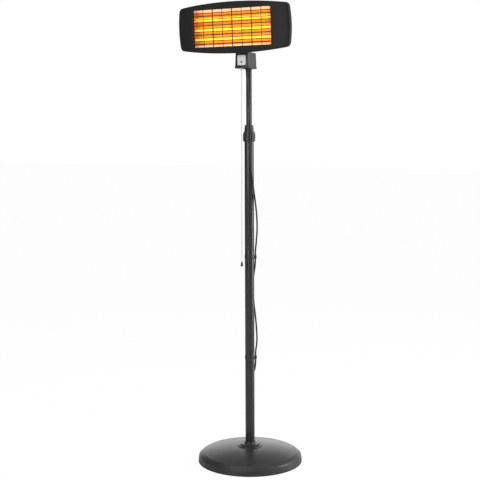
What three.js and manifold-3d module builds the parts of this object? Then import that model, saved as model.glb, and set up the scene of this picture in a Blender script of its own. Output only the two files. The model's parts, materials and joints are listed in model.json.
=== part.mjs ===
// Free-standing quartz patio heater: a weighted round base, a three-piece mast with a
// telescoping inner mast and twist lock, a switch housing with a pull cord, and a
// tilting heater head with three quartz tubes.
//
// Frame: millimetres, +Z up. The origin is on the floor, on the mast's axis. The long
// side of the head lies along X, and the heater faces -Y.
import * as THREE from 'three';
import { mergeVertices } from 'three/addons/utils/BufferGeometryUtils.js';
import Module from 'manifold-3d';

const manifoldLibrary = await Module();
manifoldLibrary.setup();

// ---------------------------------------------------------------- driving dimensions
const GAP = 0.3;                      // clearance between pieces that touch
const ROUND = 20;                     // sides of an ordinary round piece
const WIDE_ROUND = 36;                // sides of the wide base

const FOOT_HEIGHT = 3;
const BASE_RADIUS = 225;
const SKIRT_HEIGHT = 24;
const LEDGE = [[222, 25.5], [218, 28.6], [211, 34.8]];   // the step above the skirt
const SHOULDER = { radius: 200, z: 41 };
const DOME_TOP = { radius: 54, z: 66 };
const HUB_STEP = 3.5;                 // the cover steps up round the socket
const HUB_RADIUS = 42;
const HUB_TOP = 75.5;
const COVER_WALL = 2;
const WEIGHT = {
  radius: 208, bottom: 3.3, edge: 26, shoulder: 196, top: 36, crown: 52, crownRadius: 60, hole: 7,
};
const FOOT_RING = { inner: 180, outer: 206, slope: 2 };
const BASE_BOLT = { radius: 5, hole: 5.4, washer: 15, bottom: 0.6, above: 25 };
const FOOT_PLUG_RISE = 35;            // how far the steel plug reaches up the mast

const MAST_RADIUS = 20;
const MAST_WALL = 1.7;
const MAST_FOOT = 73;
const MAST_SEAMS = [481, 919];
const MAST_TOP = 1390;
const COUPLER_LENGTH = 70;

const INNER_RADIUS = 12.5;
const INNER_WALL = 1.5;
const INNER_FOOT = 1190;
const INNER_TOP = 1735;

const NUT = { bottom: 1385, step: 1421, top: 1450 };

const NECK = { bottom: 1683, top: 1748, rearRadius: 32, topRadius: 29.2, front: 66, corner: 5 };
const NECK_WALL = 2.5;
const NECK_LIP = { height: 10, out: 1.2 };
const NECK_BASE_THICKNESS = 3;
const SWITCH_PLATE = { width: 38, bottom: 1695, top: 1736.5, corner: 4.5, depth: 1.5 };
const PLATE_SCREW = { z: 1708, hole: 2.4, head: 4, headHeight: 1.2, shank: 2, length: 4.6 };
const FERRULE = { bore: 1.8, radius: 3.1, bottom: 1673, top: 1687 };
const YOKE_SLEEVE = { wall: 3.2, bottom: 1700, top: 1742, arm: 1736.5, screw: 1712 };

const PIVOT = { y: -25, z: 1790 };
const TONGUE_HALF_WIDTH = 19;
const TONGUE_RADIUS = 13;
const EAR_THICKNESS = 3;
const TILT_BOLT_RADIUS = 4;

const HEAD_CENTRE = { y: -151.7, z: 1841.4 };
const HEAD_TILT = THREE.MathUtils.degToRad(3.93);
const BEZEL = {
  halfLength: 255.5, halfHeight: 103, topBulge: 1730, endBulge: 457,
  corner: 20, flatHalf: 150, wingBend: 400, front: -3, back: 30, wall: 2,
};
const OPENING = { width: 354, height: 148.4, corner: 4, lip: 2, lipBack: 2 };
const GRILLE = { rows: 12, columns: 8, wire: 3.2, fine: 1.3, stout: 2, front: 2.3, margin: 3 };
const HOUSING_HALF_LENGTH = 200;
const HOUSING_WALL = 1.5;
const HOUSING_BACK = 90;
const VENT = { perSide: 5, pitch: 32, length: 20, height: 3, rows: [26, 36] };
const TUBE_HEIGHTS = { top: 36.5, middle: -3.5, bottom: -43.5 };
const QUARTZ_TUBE = { radius: 6.5, bore: 5, halfLength: 187, y: 22 };
const REFLECTOR_HALF_LENGTH = 178;

const PULL_CORD_RADIUS = 1.3;
const PULL_EXIT = { x: -3, y: -59 };
const PULL_KNOB = { top: 877, bottom: 857, radius: 5.8 };

const CORD_RADIUS = 3.5;
const CORD_TURN = THREE.MathUtils.degToRad(28.1);   // the side of the mast the cord uses
const CLIPS = { upper: 891, lower: 456 };
const CLIP = { height: 14, band: 2, hookWall: 1.8, play: 0.6, mouth: 7, hookMouth: 1.5 };
const CORD_SEAT = 25;                 // how far from the mast's axis a clip holds the cord
const HANK = { side: -83.1, front: -239.1, angle: -20, length: 110, width: 49, height: 7.3 };
const PLUG_AXIS_Z = 18.7;
const PLUG_TAIL = -330;

// ------------------------------------------------------------------------ finishes
const finish = {
  base: { color: 0x3d3d3f, roughness: 0.7, metalness: 0.3 },
  stone: { color: 0x8c8a84, roughness: 0.95, metalness: 0 },
  mast: { color: 0x3b3b3d, roughness: 0.5, metalness: 0.4 },
  steel: { color: 0xa8aaac, roughness: 0.35, metalness: 1 },
  zinc: { color: 0x8f9296, roughness: 0.4, metalness: 1 },
  blackPlastic: { color: 0x1c1c1e, roughness: 0.5, metalness: 0 },
  nylon: { color: 0x2a2a2c, roughness: 0.6, metalness: 0 },
  rubber: { color: 0x151515, roughness: 0.85, metalness: 0 },
  plate: { color: 0xd5d6d4, roughness: 0.4, metalness: 0 },
  bezel: { color: 0x2d2c2d, roughness: 0.45, metalness: 0.4 },
  housing: { color: 0x2f2f31, roughness: 0.55, metalness: 0.4 },
  grille: { color: 0x4a3c32, roughness: 0.4, metalness: 0.8 },
  reflector: { color: 0xe8e4dc, roughness: 0.15, metalness: 1 },
  quartz: { color: 0xffb347, roughness: 0.1, metalness: 0 },
  coil: { color: 0xff9a2a, roughness: 0.5, metalness: 0.2 },
  ceramic: { color: 0xe9e4d6, roughness: 0.6, metalness: 0 },
  pullCord: { color: 0xc9c7c0, roughness: 0.8, metalness: 0 },
  wire: { color: 0xb8452f, roughness: 0.7, metalness: 0 },
};

// ------------------------------------------------------------------- solid helpers
function solid(geometry) {
  const bare = geometry.clone();
  bare.deleteAttribute('normal');
  bare.deleteAttribute('uv');
  const merged = mergeVertices(bare, 1e-4);
  return new manifoldLibrary.Manifold(new manifoldLibrary.Mesh({
    numProp: 3,
    vertProperties: new Float32Array(merged.attributes.position.array),
    triVerts: new Uint32Array(merged.index.array),
  }));
}

function toGeometry(shape) {
  const mesh = shape.getMesh();
  const geometry = new THREE.BufferGeometry();
  geometry.setAttribute('position', new THREE.BufferAttribute(new Float32Array(mesh.vertProperties), 3));
  geometry.setIndex(new THREE.BufferAttribute(new Uint32Array(mesh.triVerts), 1));
  geometry.computeVertexNormals();
  return geometry;
}

function unite(...geometries) {
  return toGeometry(geometries.map(solid).reduce((whole, piece) => whole.add(piece)));
}

function cut(geometry, ...tools) {
  return toGeometry(tools.map(solid).reduce((rest, tool) => rest.subtract(tool), solid(geometry)));
}

function common(a, b) {
  return toGeometry(solid(a).intersect(solid(b)));
}

// A closed profile of [radius, z] points, listed anticlockwise, turned about Z.
function turned(profile, segments = ROUND) {
  const points = profile.map(([r, z]) => new THREE.Vector2(r, z));
  const onAxis = profile[0][0] === 0 && profile[profile.length - 1][0] === 0;
  if (!onAxis) {
    points.push(points[0].clone());
  }
  return new THREE.LatheGeometry(points, segments).rotateX(Math.PI / 2);
}

function ring(inner, outer, bottom, top, segments = ROUND) {
  return turned([[inner, bottom], [outer, bottom], [outer, top], [inner, top]], segments);
}

function disc(radius, bottom, top, segments = ROUND) {
  return turned([[0, bottom], [radius, bottom], [radius, top], [0, top]], segments);
}

function block(x0, x1, y0, y1, z0, z1) {
  const box = new THREE.BoxGeometry(x1 - x0, y1 - y0, z1 - z0);
  return box.translate((x0 + x1) / 2, (y0 + y1) / 2, (z0 + z1) / 2);
}

// An outline in X and Y, raised from z0 to z1.
function raised(outline, z0, z1, curveSegments = 8) {
  const options = { depth: z1 - z0, bevelEnabled: false, curveSegments };
  return new THREE.ExtrudeGeometry(outline, options).translate(0, 0, z0);
}

// An outline in Y and Z, drawn out along X.
function drawnAlongX(outline, x0, x1, curveSegments = 8) {
  const turn = new THREE.Matrix4().makeBasis(
    new THREE.Vector3(0, 1, 0), new THREE.Vector3(0, 0, 1), new THREE.Vector3(1, 0, 0));
  return raised(outline, x0, x1, curveSegments).applyMatrix4(turn);
}

// An outline in X and Z, drawn out along Y.
function drawnAlongY(outline, y0, y1, curveSegments = 8) {
  return raised(outline, -y1, -y0, curveSegments).rotateX(Math.PI / 2);
}

function polygon(points) {
  return new THREE.Shape(points.map(([a, b]) => new THREE.Vector2(a, b)));
}

function circle(radius, a = 0, b = 0) {
  return new THREE.Shape().absarc(a, b, radius, 0, 2 * Math.PI);
}

function roundedRectangle(width, height, corner, a = 0, b = 0) {
  const right = a + width / 2 - corner;
  const left = a - width / 2 + corner;
  const top = b + height / 2 - corner;
  const bottom = b - height / 2 + corner;
  return new THREE.Shape()
    .absarc(right, bottom, corner, -Math.PI / 2, 0)
    .absarc(right, top, corner, 0, Math.PI / 2)
    .absarc(left, top, corner, Math.PI / 2, Math.PI)
    .absarc(left, bottom, corner, Math.PI, 1.5 * Math.PI);
}

// A rod along X, and a round cord of many sides along a smooth curve.
function rodAlongX(radius, x0, x1, y, z, segments = 20) {
  return disc(radius, x0, x1, segments).rotateY(Math.PI / 2).translate(0, y, z);
}

function cordAlong(points, radius, sides, steps) {
  const corners = Array.from({ length: sides }, (_, i) => {
    const angle = 2 * Math.PI * i / sides;
    return [radius * Math.cos(angle), radius * Math.sin(angle)];
  });
  const path = new THREE.CatmullRomCurve3(points.map((p) => new THREE.Vector3(...p)));
  const options = { extrudePath: path, steps, bevelEnabled: false };
  return new THREE.ExtrudeGeometry(polygon(corners), options);
}

// The cord lies in a frame turned about the mast: [side, front, z].
function onCordSide([side, front, z]) {
  const c = Math.cos(CORD_TURN);
  const s = Math.sin(CORD_TURN);
  return [c * side + s * front, s * side - c * front, z];
}

function piece(group, name, geometry, look) {
  const mesh = new THREE.Mesh(geometry, new THREE.MeshStandardMaterial(look));
  mesh.name = name;
  group.add(mesh);
  return mesh;
}

// ----------------------------------------------------------------------------- base
function domeHeight(radius) {
  const out = (radius - DOME_TOP.radius) / (SHOULDER.radius - DOME_TOP.radius);
  return DOME_TOP.z - (DOME_TOP.z - SHOULDER.z) * Math.pow(out, 1.6);
}

function baseCover() {
  const bore = MAST_RADIUS + 1.8;
  const hubTop = DOME_TOP.z + HUB_STEP;
  const dome = [200, 165, 125, 85, DOME_TOP.radius].map((r) => [r, domeHeight(r)]);
  const hub = [[DOME_TOP.radius - 1, hubTop], [bore, hubTop]];
  const outside = [[BASE_RADIUS, 0.5], ...LEDGE, ...dome, ...hub];
  const inside = [
    [bore, hubTop - COVER_WALL], [DOME_TOP.radius - 3, hubTop - COVER_WALL],
    [DOME_TOP.radius, DOME_TOP.z - COVER_WALL],
    [125, domeHeight(125) - COVER_WALL], [198, domeHeight(198) - COVER_WALL],
    [BASE_RADIUS - 3 - COVER_WALL, SKIRT_HEIGHT - COVER_WALL], [BASE_RADIUS - COVER_WALL, 0.5],
  ];
  return turned([...outside, ...inside], WIDE_ROUND);
}

function baseWeight() {
  const { radius, bottom, edge, shoulder, top, crown, crownRadius, hole } = WEIGHT;
  return turned([
    [hole, bottom], [radius, bottom], [radius, edge], [shoulder, top], [crownRadius, crown], [hole, crown],
  ], WIDE_ROUND);
}

function poleSocket() {
  const inside = MAST_RADIUS + GAP;
  const bottom = DOME_TOP.z + HUB_STEP + GAP;
  return turned([
    [inside, bottom], [HUB_RADIUS - 1, bottom], [HUB_RADIUS - 1, HUB_TOP - 1],
    [HUB_RADIUS - 3, HUB_TOP], [inside + 4, HUB_TOP + 0.5], [inside + 1.9, HUB_TOP + 3],
    [inside + 1.7, HUB_TOP + 9], [inside, HUB_TOP + 9],
  ]);
}

function footRing() {
  const { inner, outer, slope } = FOOT_RING;
  return turned([
    [inner, 0], [outer, 0], [outer - slope, FOOT_HEIGHT], [inner + slope, FOOT_HEIGHT],
  ], WIDE_ROUND);
}

function addBase(group) {
  piece(group, 'base_cover', baseCover(), finish.base);
  piece(group, 'base_weight', baseWeight(), finish.stone);
  piece(group, 'foot_ring', footRing(), finish.rubber);
  piece(group, 'pole_socket', poleSocket(), finish.mast);
  const { radius, hole, washer, bottom, above } = BASE_BOLT;
  const insideTube = MAST_RADIUS - MAST_WALL - GAP;
  const plugSeat = WEIGHT.crown + GAP;
  piece(group, 'foot_plug', ring(hole, insideTube, plugSeat, MAST_FOOT + FOOT_PLUG_RISE), finish.steel);
  piece(group, 'base_washer', ring(hole, washer, bottom + 0.4, FOOT_HEIGHT, 24), finish.zinc);
  const shank = disc(radius, bottom + 0.2, MAST_FOOT + above);
  piece(group, 'base_bolt', unite(shank, disc(radius - 0.1, bottom, bottom + 0.9, 6)), finish.zinc);
}

// ----------------------------------------------------------------------------- mast
function mastTube(bottom, top) {
  return ring(MAST_RADIUS - MAST_WALL, MAST_RADIUS, bottom, top);
}

function cableClip(z) {
  const half = CLIP.height / 2;
  const inside = MAST_RADIUS + GAP;
  const cordBore = CORD_RADIUS + CLIP.play;
  const band = ring(inside, inside + CLIP.band, -half, half);
  const hook = ring(cordBore, cordBore + CLIP.hookWall, -half, half, 16).translate(CORD_SEAT, 0, 0);
  const cordRoom = disc(cordBore, -half - 1, half + 1, 16).translate(CORD_SEAT, 0, 0);
  const mastRoom = disc(inside, -half - 1, half + 1);
  const bandMouth = block(-2 * inside, -inside + 5, -CLIP.mouth, CLIP.mouth, -half - 1, half + 1);
  const hookMouth = block(CORD_SEAT, CORD_SEAT + 10, -CLIP.hookMouth, CLIP.hookMouth, -half - 1, half + 1);
  const clip = cut(unite(band, hook), cordRoom, mastRoom, bandMouth, hookMouth);
  return clip.rotateZ(CORD_TURN).translate(0, 0, z);
}

function addMast(group) {
  const insideTube = MAST_RADIUS - MAST_WALL - GAP;
  const [low, high] = MAST_SEAMS;
  const half = GAP / 2;
  piece(group, 'mast_lower_tube', mastTube(MAST_FOOT, low - half), finish.mast);
  piece(group, 'mast_middle_tube', mastTube(low + half, high - half), finish.mast);
  piece(group, 'mast_upper_tube', mastTube(high + half, MAST_TOP), finish.mast);
  for (const [name, z] of [['mast_coupler_lower', low], ['mast_coupler_upper', high]]) {
    const reach = COUPLER_LENGTH / 2;
    piece(group, name, ring(insideTube - 2.5, insideTube, z - reach, z + reach), finish.zinc);
  }
  piece(group, 'cable_clip_upper', cableClip(CLIPS.upper), finish.blackPlastic);
  piece(group, 'cable_clip_lower', cableClip(CLIPS.lower), finish.blackPlastic);
}

// The twist lock: a threaded sleeve on the outer mast, a split collet and the nut.
function lockSleeve() {
  const bore = MAST_RADIUS + GAP;
  return turned([
    [bore, 1380], [24.6, 1381.5], [25.6, 1384.6], [23, 1384.6], [22.6, 1412], [INNER_RADIUS + 1, 1412],
    [INNER_RADIUS + 1, MAST_TOP + GAP], [bore, MAST_TOP + GAP],
  ]);
}

function collet() {
  const bore = INNER_RADIUS + GAP;
  const body = turned([[bore, 1412.4], [18, 1412.4], [15.4, 1442], [bore, 1442]]);
  return cut(body, block(bore - 3, 20, -1, 1, 1410, 1445));
}

function collarNut() {
  return turned([
    [23.4, NUT.bottom], [26.5, NUT.bottom], [26.2, NUT.step - 8], [24.6, NUT.step],
    [20.5, NUT.step], [20.3, NUT.step + 4], [17.8, NUT.top - 1.5], [17, NUT.top],
    [INNER_RADIUS + 1, NUT.top], [INNER_RADIUS + 1, 1443], [16, 1443], [18.6, 1412.4],
    [23, 1412.4],
  ]);
}

function addTwistLock(group) {
  piece(group, 'lock_sleeve', lockSleeve(), finish.blackPlastic);
  piece(group, 'lock_collet', collet(), finish.nylon);
  piece(group, 'collar_nut', collarNut(), finish.blackPlastic);
}

// ------------------------------------------------------- inner mast, switch housing
// The housing is round behind the mast and has rounded corners in front.
function neckOutline(inset) {
  const rear = NECK.rearRadius - inset;
  const corner = NECK.corner - inset;
  const front = -NECK.front + NECK.corner;
  return new THREE.Shape()
    .absarc(0, 0, rear, 0, Math.PI)
    .absarc(-rear + corner, front, corner, Math.PI, 1.5 * Math.PI)
    .absarc(rear - corner, front, corner, 1.5 * Math.PI, 2 * Math.PI);
}

// The sides draw in towards the top, while the front face stays upright.
function drawnIn(geometry) {
  const position = geometry.attributes.position;
  for (let i = 0; i < position.count; i += 1) {
    const height = (position.getZ(i) - NECK.bottom) / (NECK.top - NECK.bottom);
    const narrow = 1 + (NECK.topRadius / NECK.rearRadius - 1) * height;
    position.setX(i, position.getX(i) * narrow);
    position.setY(i, position.getY(i) * (position.getY(i) > 0 ? narrow : 1));
  }
  return geometry;
}

function neckHousing() {
  const lipTop = NECK.bottom + NECK_LIP.height;
  const body = drawnIn(raised(neckOutline(0), NECK.bottom, NECK.top, 6));
  const lip = drawnIn(raised(neckOutline(-NECK_LIP.out), NECK.bottom, lipTop, 6));
  const room = drawnIn(raised(neckOutline(NECK_WALL), NECK.bottom - 1, NECK.top - NECK_WALL, 6));
  const middle = (SWITCH_PLATE.bottom + SWITCH_PLATE.top) / 2;
  const height = SWITCH_PLATE.top - SWITCH_PLATE.bottom;
  const recess = roundedRectangle(
    SWITCH_PLATE.width + 2 * GAP, height + 2 * GAP, SWITCH_PLATE.corner + GAP, 0, middle);
  const pocket = drawnAlongY(recess, -NECK.front - 3, -NECK.front + 1.3, 4);
  const reach = TONGUE_HALF_WIDTH + 2;
  const slot = block(-reach, reach, PIVOT.y - 9, PIVOT.y + 9, NECK.top - 5, NECK.top + 1);
  const screwShape = circle(PLATE_SCREW.hole, 0, PLATE_SCREW.z);
  const screwHole = drawnAlongY(screwShape, -NECK.front - 1, -NECK.front + 4, 4);
  return cut(unite(body, lip), room, pocket, slot, screwHole);
}

function neckBase() {
  const thickness = NECK_BASE_THICKNESS;
  const plate = raised(neckOutline(NECK_WALL + GAP), NECK.bottom, NECK.bottom + thickness, 6);
  const mastHole = disc(INNER_RADIUS + GAP, NECK.bottom - 1, NECK.bottom + 5);
  const cordHole = disc(3.4, NECK.bottom - 1, NECK.bottom + 5, 16);
  const [x, y] = onCordSide(CORD_ROUTE[0]);
  const glandHole = disc(6.3, NECK.bottom - 1, NECK.bottom + 5, 20);
  return cut(plate, mastHole, cordHole.translate(PULL_EXIT.x, PULL_EXIT.y, 0), glandHole.translate(x, y, 0));
}

function cableGland() {
  const [x, y] = onCordSide(CORD_ROUTE[0]);
  const seat = NECK.bottom - GAP;
  return turned([
    [0, CORD_ROUTE[0][2] + GAP], [4.4, CORD_ROUTE[0][2] + GAP], [7, seat - 6], [9, seat - 5],
    [9, seat], [6, seat], [6, NECK.bottom + 8], [0, NECK.bottom + 8],
  ], 20).translate(x, y, 0);
}

// The yoke is clamped on the inner mast inside the housing; its tongue rises through
// the slot in the housing's top and carries the tilt bolt.
function tiltYoke() {
  const { wall, bottom, top, arm } = YOKE_SLEEVE;
  const sleeve = disc(INNER_RADIUS + wall, bottom, top);
  const bridge = block(-14, 14, PIVOT.y - 7, 4, arm, top + 2);
  const bore = disc(INNER_RADIUS + GAP, bottom - 10, INNER_TOP + GAP);
  const boltHole = rodAlongX(TILT_BOLT_RADIUS + GAP, -30, 30, PIVOT.y, PIVOT.z, 24);
  return cut(unite(sleeve, bridge, tongue()), bore, boltHole);
}

function tongue() {
  const half = TONGUE_HALF_WIDTH;
  const stem = block(-half, half, PIVOT.y - 7, PIVOT.y + 7, YOKE_SLEEVE.arm, PIVOT.z);
  const eye = rodAlongX(TONGUE_RADIUS, -TONGUE_HALF_WIDTH, TONGUE_HALF_WIDTH, PIVOT.y, PIVOT.z, 28);
  return unite(stem, eye);
}

function switchPlate() {
  const { width, bottom, top, corner, depth } = SWITCH_PLATE;
  const back = -NECK.front + 1;
  const outline = roundedRectangle(width, top - bottom, corner, 0, (bottom + top) / 2);
  const hole = drawnAlongY(circle(PLATE_SCREW.hole, 0, PLATE_SCREW.z), back - 5, back + 5, 4);
  return cut(drawnAlongY(outline, back - depth, back, 4), hole);
}

function plateScrew() {
  const { z, head, headHeight, shank, length } = PLATE_SCREW;
  const seat = -NECK.front + 1 - SWITCH_PLATE.depth - GAP;
  const screw = unite(disc(head, 0, headHeight), disc(shank, 0.5 - length, 0.5, 14));
  return screw.rotateX(Math.PI / 2).translate(0, seat, z);
}

function guideBush() {
  return ring(INNER_RADIUS + GAP, MAST_RADIUS - MAST_WALL - GAP, INNER_FOOT, INNER_FOOT + 26);
}

function addNeck(group) {
  const mast = ring(INNER_RADIUS - INNER_WALL, INNER_RADIUS, INNER_FOOT, INNER_TOP);
  piece(group, 'inner_mast', mast, finish.mast);
  piece(group, 'guide_bush', guideBush(), finish.nylon);
  piece(group, 'neck_housing', neckHousing(), finish.blackPlastic);
  piece(group, 'neck_base', neckBase(), finish.blackPlastic);
  piece(group, 'switch_plate', switchPlate(), finish.plate);
  piece(group, 'plate_screw', plateScrew(), finish.blackPlastic);
  piece(group, 'pull_switch', block(-14, 14, -52, -36, 1714, 1734), finish.nylon);
  piece(group, 'cable_gland', cableGland(), finish.rubber);
  const ferrule = ring(FERRULE.bore, FERRULE.radius, FERRULE.bottom, FERRULE.top, 16);
  piece(group, 'cord_ferrule', ferrule.translate(PULL_EXIT.x, PULL_EXIT.y, 0), finish.steel);
  piece(group, 'tilt_yoke', tiltYoke(), finish.steel);
  const screw = disc(2.5, 0, 9, 16).rotateX(-Math.PI / 2);
  const screwSeat = INNER_RADIUS + YOKE_SLEEVE.wall + GAP;
  piece(group, 'yoke_screw', screw.translate(0, screwSeat, YOKE_SLEEVE.screw), finish.zinc);
}

// ------------------------------------------------------------------------ pull cord
const PULL_ROUTE = [
  [-3, -59, 1699.6], [-3, -59, 1650], [-3.4, -58.9, 1540], [-4, -58.6, 1380], [-4.8, -58.3, 1200],
  [-5.6, -58, 1040], [-6, -57.8, PULL_KNOB.top + GAP],
];

function pullKnob() {
  const [x, y] = PULL_ROUTE[PULL_ROUTE.length - 1];
  return turned([
    [0, PULL_KNOB.bottom], [3.6, PULL_KNOB.bottom], [5.4, PULL_KNOB.bottom + 1.5],
    [PULL_KNOB.radius, PULL_KNOB.bottom + 4], [3.4, PULL_KNOB.top - 2], [2.4, PULL_KNOB.top],
    [0, PULL_KNOB.top],
  ], 20).translate(x, y, 0);
}

function addPullCord(group) {
  const { x, y } = PULL_EXIT;
  const slider = block(x - 4, x + 4, y - 3, y + 7, 1700, 1706);   // the switch's moving jaw
  piece(group, 'pull_slider', slider, finish.nylon);
  piece(group, 'pull_cord', cordAlong(PULL_ROUTE, PULL_CORD_RADIUS, 6, 26), finish.pullCord);
  piece(group, 'pull_knob', pullKnob(), finish.blackPlastic);
}

// ----------------------------------------------------------------------------- head
// The head is drawn about the middle of its opening: X along it, Z up it, -Y out of it.
function bezelOutline(inset) {
  const { halfLength, halfHeight, topBulge, endBulge, corner } = BEZEL;
  const low = halfHeight - topBulge;
  const left = halfLength - endBulge;
  const [x, z] = meetingPoint([0, low], topBulge - corner, [left, 0], endBulge - corner);
  const side = Math.atan2(z, x - left);
  const upper = Math.atan2(z - low, x);
  const end = endBulge - inset;
  const top = topBulge - inset;
  const round = corner - inset;
  return new THREE.Shape()
    .absarc(left, 0, end, -side, side)
    .absarc(x, z, round, side, upper)
    .absarc(0, low, top, upper, Math.PI - upper)
    .absarc(-x, z, round, Math.PI - upper, Math.PI - side)
    .absarc(-left, 0, end, Math.PI - side, Math.PI + side)
    .absarc(-x, -z, round, Math.PI + side, Math.PI + upper)
    .absarc(0, -low, top, Math.PI + upper, 2 * Math.PI - upper)
    .absarc(x, -z, round, 2 * Math.PI - upper, 2 * Math.PI - side);
}

// Where two circles meet, on the side of larger X and Z.
function meetingPoint([ax, az], ra, [bx, bz], rb) {
  const distance = Math.hypot(bx - ax, bz - az);
  const along = (distance * distance + ra * ra - rb * rb) / (2 * distance);
  const across = Math.sqrt(ra * ra - along * along);
  const ux = (bx - ax) / distance;
  const uz = (bz - az) / distance;
  const first = [ax + along * ux - across * uz, az + along * uz + across * ux];
  const second = [ax + along * ux + across * uz, az + along * uz - across * ux];
  return first[0] + first[1] > second[0] + second[1] ? first : second;
}

// A slab that is flat in front of the grille and sweeps back towards its two ends.
function sweptSlab(inset) {
  const { flatHalf, wingBend, front, back } = BEZEL;
  const radius = wingBend - inset;
  const centre = front + wingBend;
  const reach = Math.asin((270 - flatHalf) / radius);
  const plan = new THREE.Shape()
    .absarc(flatHalf, centre, radius, -Math.PI / 2, -Math.PI / 2 + reach)
    .lineTo(270, back)
    .lineTo(-270, back)
    .absarc(-flatHalf, centre, radius, -Math.PI / 2 - reach, -Math.PI / 2);
  return raised(plan, -120, 120, 4);
}

function bezel() {
  const deep = BEZEL.back + 1;
  const outer = common(drawnAlongY(bezelOutline(0), -20, BEZEL.back, 4), sweptSlab(0));
  const room = common(drawnAlongY(bezelOutline(BEZEL.wall), -20, deep, 4), sweptSlab(BEZEL.wall));
  const back = drawnAlongY(bezelOutline(BEZEL.wall), BEZEL.back - 1, deep, 4);
  const shell = cut(outer, room, back);
  const lipWidth = OPENING.width + 2 * OPENING.lip;
  const lipHeight = OPENING.height + 2 * OPENING.lip;
  const lipShape = roundedRectangle(lipWidth, lipHeight, OPENING.corner + OPENING.lip);
  const lip = common(drawnAlongY(lipShape, -20, OPENING.lipBack, 3), sweptSlab(0));
  const hole = roundedRectangle(OPENING.width, OPENING.height, OPENING.corner);
  return cut(unite(shell, lip), drawnAlongY(hole, -20, 10, 3));
}

// Welded wire guard: eleven level wires and seven upright ones on a frame of four.
function grille() {
  const { rows, columns, wire, fine, stout, front, margin } = GRILLE;
  const halfWidth = OPENING.width / 2 + margin;
  const halfHeight = OPENING.height / 2 + margin;
  const wires = [];
  for (let row = 1; row < rows; row += 1) {
    const z = OPENING.height * (row / rows - 0.5);
    wires.push(block(-halfWidth, halfWidth, front, front + wire, z - wire / 2, z + wire / 2));
  }
  for (let column = 1; column < columns; column += 1) {
    const x = OPENING.width * (column / columns - 0.5);
    const half = column % 2 ? fine : stout;
    wires.push(block(x - half, x + half, front + 1, front + 1 + wire, -halfHeight, halfHeight));
  }
  for (const side of [-1, 1]) {
    const x = side * halfWidth;
    wires.push(block(x - 1, x + 1, front + 0.5, front + 2.5, -halfHeight - 1, halfHeight + 1));
    const z = side * halfHeight;
    wires.push(block(-halfWidth, halfWidth, front + 0.5, front + 2.5, z - 1, z + 1));
  }
  return unite(...wires);
}

function reflector() {
  const inside = [[9, 78], [27, 63], [37, 48], [37, -50], [27, -64], [9, -78]];
  const outside = [[9, -79.4], [27.6, -65], [38, -50.4], [38, 48.4], [27.6, 64], [9, 79.4]];
  const reach = REFLECTOR_HALF_LENGTH;
  const sheet = drawnAlongX(polygon([...inside, ...outside]), -reach, reach);
  const lamps = Object.values(TUBE_HEIGHTS).map((z) =>
    rodAlongX(QUARTZ_TUBE.radius + GAP, -reach - 1, reach + 1, QUARTZ_TUBE.y, z));
  const ends = [-1, 1].map((side) => {
    const x = side * (reach - 0.6);
    return cut(drawnAlongX(polygon(inside), x - 0.6, x + 0.6), ...lamps);
  });
  return unite(sheet, ...ends);
}

function rearHousing() {
  const outer = polygon([[8, -84], [32, -84], [HOUSING_BACK, -38], [HOUSING_BACK, 50], [34, 84], [8, 84]]);
  const wall = HOUSING_WALL;
  const inner = polygon([
    [0, -84 + wall], [31.4, -84 + wall], [HOUSING_BACK - wall, -37.3],
    [HOUSING_BACK - wall, 49.2], [33.5, 84 - wall], [0, 84 - wall],
  ]);
  const reach = HOUSING_HALF_LENGTH;
  const shell = cut(drawnAlongX(outer, -reach, reach), drawnAlongX(inner, -reach + wall, reach - wall));
  return cut(shell, ...ventSlots());
}

// Two rows of level slots near the top of the back, left and right of the bracket.
function ventSlots() {
  const { perSide, pitch, length, height, rows } = VENT;
  const slots = [];
  for (let i = -perSide; i <= perSide; i += 1) {
    const x = i * pitch;
    for (const z of i === 0 ? [] : rows) {
      slots.push(block(x - length / 2, x + length / 2, HOUSING_BACK - 5, HOUSING_BACK + 5, z, z + height));
    }
  }
  return slots;
}

function lampHolder(side) {
  const inner = REFLECTOR_HALF_LENGTH + 0.5;
  const body = block(inner, inner + 13, 11, 33, -58, 52);
  const sockets = Object.values(TUBE_HEIGHTS).map((z) =>
    rodAlongX(QUARTZ_TUBE.radius + GAP, inner - 1, inner + 10, QUARTZ_TUBE.y, z));
  const holder = cut(body, ...sockets);
  return side > 0 ? holder : faced(holder.scale(-1, 1, 1));
}

// Mirroring turns a solid inside out, so its triangles are wound the other way again.
function faced(geometry) {
  const index = geometry.index.array;
  for (let i = 0; i < index.length; i += 3) {
    [index[i + 1], index[i + 2]] = [index[i + 2], index[i + 1]];
  }
  return geometry;
}

function lampWire(side) {
  const route = [[22, 70, -4], [60, 72, -6], [110, 70, 0], [160, 60, 4], [186, 46, 2], [186, 33.6, 0]];
  return cordAlong(route.map(([x, y, z]) => [side * x, y, z]), 1.6, 6, 14);
}

// The bracket is bolted to the back of the housing; its two ears hold the tilt bolt.
function headBracket(pivotY, pivotZ) {
  const plateFront = HOUSING_BACK + GAP;
  const reach = TONGUE_HALF_WIDTH + 0.6;
  const plate = block(-reach - EAR_THICKNESS, reach + EAR_THICKNESS, plateFront, plateFront + 3, -37, 8);
  const ears = [-1, 1].map((side) => {
    const x = side * (reach + EAR_THICKNESS / 2);
    const arm = polygon([
      [plateFront, -37], [pivotY - 6, pivotZ - 11], [pivotY + 11, pivotZ + 6],
      [plateFront + 3, 4], [plateFront, 8],
    ]);
    const flat = drawnAlongX(arm, x - EAR_THICKNESS / 2, x + EAR_THICKNESS / 2);
    return unite(flat, rodAlongX(12.5, x - EAR_THICKNESS / 2, x + EAR_THICKNESS / 2, pivotY, pivotZ, 28));
  });
  const boltHole = rodAlongX(TILT_BOLT_RADIUS + GAP, -40, 40, pivotY, pivotZ, 24);
  return cut(unite(plate, ...ears), boltHole);
}

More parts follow.
